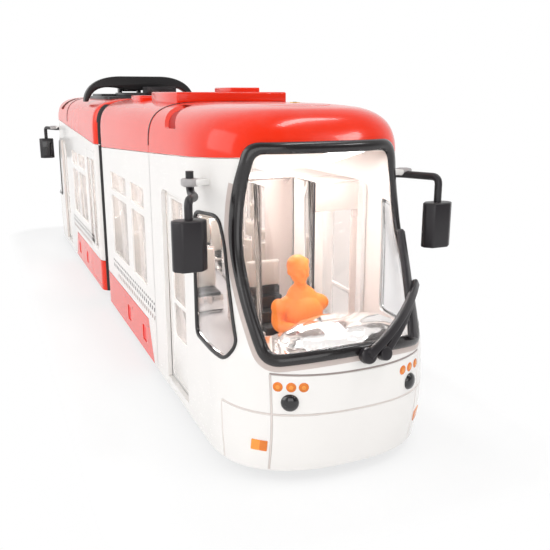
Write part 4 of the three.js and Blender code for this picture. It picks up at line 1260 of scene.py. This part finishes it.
def pantograph():
    deep = (116.2, 118.8)
    gear = [block((27, 100), (-24, 24), (ROOF_DECK, 116.6), 0.4),
            *blocks(0.4, ((30, 60), (-20, 14), deep), ((64, 99), (-22, 22), (116.2, 118)))]
    gear += [block((28 + 2.2 * i, 29.1 + 2.2 * i), (-17, 0.5), (117.8, 122.2), 0.2)
             for i in range(7)]
    gear.append(block((27.5, 42), (-15, -1.5), (117.8, 121.2), 0.3))
    gear += [block((81, 87), (side * 5.3, side * 7.3), (117.6, 124.1), 0.4) for side in (1, -1)]
    put("rear_gear_plate", joined(*gear), "charcoal", "rear_car",
        ["rear_pantograph_base"], turn=-1)
    pads = blocks(0.3, ((90, 99.5), (-23.5, -12), deep), ((60, 66), (-23.5, -16), deep))
    put("rear_gear_pads", joined(*pads), "grey", "rear_car", turn=-1)
    half, foot, top, low, throat = 35, 113.4, 128.6, 120.2, 6

    def cubic(a, b, c, d, steps=14):
        return [tuple(a[k] * (1 - t) ** 3 + 3 * b[k] * t * (1 - t) ** 2 + 3 * c[k] * t * t * (1 - t)
                      + d[k] * t ** 3 for k in (0, 1)) for t in (i / steps for i in range(steps + 1))]
    left = cubic((-throat, low), (12 - half, top - 5), (throat - half, top - 6), (2.4 - half, foot))
    left += cubic((-half, foot), (1 - half, top - 4), (12 - half, top), (-half * 0.35, top))
    whole = left + [(-y, z) for y, z in reversed(left)]
    arch = softened(prism("x", whole, 49.5, 56.5), 0.5, 3)
    arm = block((53, 84), (-4, 4), (low, low + 3), 0.5)
    knuckle = turned([(-5, 0), (-5, 1.7), (-4.5, 2.2), (4.5, 2.2), (5, 1.7), (5, 0)],
                     (84, 0, low + 1.5), steps=20)
    put("rear_pantograph_frame", joined(arch, arm, knuckle), "black",
        "rear_pantograph", ["rear_pantograph"], turn=-1)


# ---- Below and between ----
# The wheel's radius, half its width, and its profile: along the axle from its middle, and radius.
RADIUS, TREAD = 12, 3
WHEEL_PROFILE = [
    (-TREAD, 0), (-TREAD, 2.6), (0.7 - TREAD, 3.0), (0.7 - TREAD, 8.0), (-TREAD, 8.6),
    (-TREAD, 11.5), (0.5 - TREAD, RADIUS), (TREAD - 1.4, RADIUS), (TREAD - 1.0, 11.4),
    (TREAD - 0.4, 11.3), (TREAD, 10.8), (TREAD, 8.8), (TREAD - 1.2, 8.0), (TREAD - 1.4, 3.4),
    (TREAD - 0.4, 3.0), (TREAD, 2.4), (TREAD, 0),
]


def wheels():
    for i, x in enumerate((34, 93, 127)):
        parts = [turned([(side * a, r) for a, r in WHEEL_PROFILE], (x, side * 28.5, RADIUS))
                 for side in (1, -1)]
        parts.append(turned([(-27, 0), (-27, 2), (27, 2), (27, 0)], (x, 0, RADIUS), steps=16))
        node = f"wheelset_{i + 1}"
        both(f"wheel_pair_{i + 1}", parts, "wheel", [node], body=node)


def bellows():
    outline = resampled(rectangle((-31, 31), (16.6, 106.6), 4), 120)
    middle = Vector((0, 61.6))

    def where(u, v):
        y, z = outline[round(u * 120) % 120]
        fold = 0.5 - 0.5 * cos(2 * pi * 4 * v)
        inwards = (middle - Vector((y, z))).normalized() * 2.5 * fold
        return lerp(-7.7, 7.7, v), y + inwards.x, z + inwards.y
    sheet = outwards(patch(120, 48, where))
    thing = put("joint_bellows", worked(sheet, wall=1.0), "bellows",
                None, ["bellows"])
    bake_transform(thing)


def carried_over():
    for car, _ in CARS:
        for node, look in (("chassis", "black"), ("floor", "grey")):
            for slot in frame["nodes"][f"{car}_{node}"].material_slots:
                slot.material = LOOKS[look]


for build in (body_walls, skirts, body_roof, seam_shade_strip, sticker, cab_walls, cab_roof, windscreen,
              screen_collar_shade, cab_windows, side_windows, doors, lamps, ticks, mirrors, wipers,
              seats, screen_box, driver_seat, desk, driver, roof_gear, pantograph, wheels, bellows,
              carried_over):
    build()


# ---- Stage, light and camera ----
FLOOR_GREYS = (0.93, 0.93, 0.93, 1), (0.96, 0.96, 0.96, 1)
# Half of the area that the tram stands on, how far its shadows reach past it, and how white the
# floor is within them.
STANDING = (("X", 0.225), ("Y", 0.045))
SHADOW_REACH = 0.035
FLOOR_WHITENESS = 0.74


def stage_look():
    look, tree, shader, place = start_material("pale floor")
    shade = ramp_node(tree, noise_node(tree, place, 3.0), 0.0, 1.0)
    feed(shader, {"Base Color": mixed(tree, shade, *FLOOR_GREYS), "Roughness": 0.9,
                  "Specular IOR Level": 0.1})
    light = add_node(tree, "LightPath").outputs
    seen = math_node(tree, "MAXIMUM", light["Is Camera Ray"], light["Is Glossy Ray"])
    seen = math_node(tree, "MAXIMUM", seen, light["Is Transmission Ray"])
    parts = add_node(tree, "SeparateXYZ", {"Vector": place}).outputs
    beyond = []
    for axis, half in STANDING:
        off = math_node(tree, "SUBTRACT", math_node(tree, "ABSOLUTE", parts[axis]), half)
        beyond.append(math_node(tree, "POWER", math_node(tree, "MAXIMUM", off, 0.0), 2.0))
    reach = math_node(tree, "SQRT", math_node(tree, "ADD", *beyond))
    share = math_node(tree, "MAXIMUM", ramp_node(tree, reach, 0.0, SHADOW_REACH), FLOOR_WHITENESS)
    white = add_node(tree, "Emission", {"Color": (1, 1, 1, 1)})
    end_in_both(tree, times(tree, share, seen), shader.outputs["BSDF"], white.outputs["Emission"])
    return look


def stage():
    bm = bmesh.new()
    bmesh.ops.create_grid(bm, x_segments=4, y_segments=4, size=4)
    mesh = mesh_of("floor", bm)
    bm.free()
    mesh.materials.append(stage_look())
    placed("floor_stage", mesh)


# White to look at, dimmer as plain light, and darkest in gloss ahead of the tram and above it.
def world():
    sky = bpy.data.worlds.new("studio")
    bpy.context.scene.world = sky
    sky.use_nodes = True
    tree = sky.node_tree
    shader = next(node for node in tree.nodes if node.type == "BACKGROUND")
    light = add_node(tree, "LightPath").outputs
    seen = math_node(tree, "MAXIMUM", light["Is Camera Ray"], light["Is Transmission Ray"])
    sheen = light["Is Glossy Ray"]
    facing = alignment(tree, add_node(tree, "TexCoord").outputs["Generated"], (0.87, 0.1, 0.48))
    room = math_node(tree, "ADD", times(tree, ramp_node(tree, facing, 0.95, 0.1), 0.8), 0.2)
    power = math_node(tree, "MAXIMUM", seen, times(tree, sheen, room))
    plain = math_node(tree, "SUBTRACT", 1.0, math_node(tree, "MAXIMUM", seen, sheen))
    power = math_node(tree, "ADD", power, times(tree, plain, 0.54))
    feed(shader, {"Strength": power, "Color": (1, 1, 1, 1)})


# Name, place, aim, size and power of each lamp. Three small ones stand inside the tram.
LAMPS = (
    ("left soft box", (0.0, -0.9, 0.5), (0, 0, 0.06), (0.9, 0.7), 3.7),
    ("front soft box", (0.75, 0.56, 0.7), (0.15, 0, 0.06), (0.2, 0.1), 0.8),
    ("top soft box", (0.43, 0.33, 1.0), (0.1, 0, 0.1), (0.4, 0.12), 2),
    ("fill behind the viewer", (1.0, -0.32, 0.32), (0.15, 0, 0.06), (0.8, 0.5), 2.3),
    ("saloon light", (0.11, 0, 0.1), (0.11, 0, 0.03), (0.12, 0.03), 0.1),
    ("saloon light", (-0.11, 0, 0.1), (-0.11, 0, 0.03), (0.12, 0.03), 0.1),
    ("cab light", (0.188, 0.012, 0.098), (0.206, 0.014, 0.03), (0.015, 0.03), 0.022),
)


def lamp(name, place, aim, size, power):
    data = bpy.data.lights.new(name, "AREA")
    data.shape = "RECTANGLE"
    data.size, data.size_y = size
    data.energy = power
    thing = placed(name, data)
    thing.location = place
    turn_to(thing, Vector(aim) - Vector(place))


VIEWER, AIM, LENS = (0.4032, -0.1021, 0.1196), (-0.8894, 0.3808, -0.2529), 46.0


def turn_to(thing, direction):
    thing.rotation_euler = Vector(direction).to_track_quat("-Z", "Y").to_euler()


def camera():
    data = bpy.data.cameras.new("view")
    data.sensor_width, data.lens, data.clip_start = 36, LENS, 0.01
    thing = placed("view", data)
    thing.location = VIEWER
    turn_to(thing, AIM)
    bpy.context.scene.camera = thing


stage()
world()
camera()
for row in LAMPS:
    lamp(*row)

bpy.context.scene.view_settings.view_transform = "Standard"
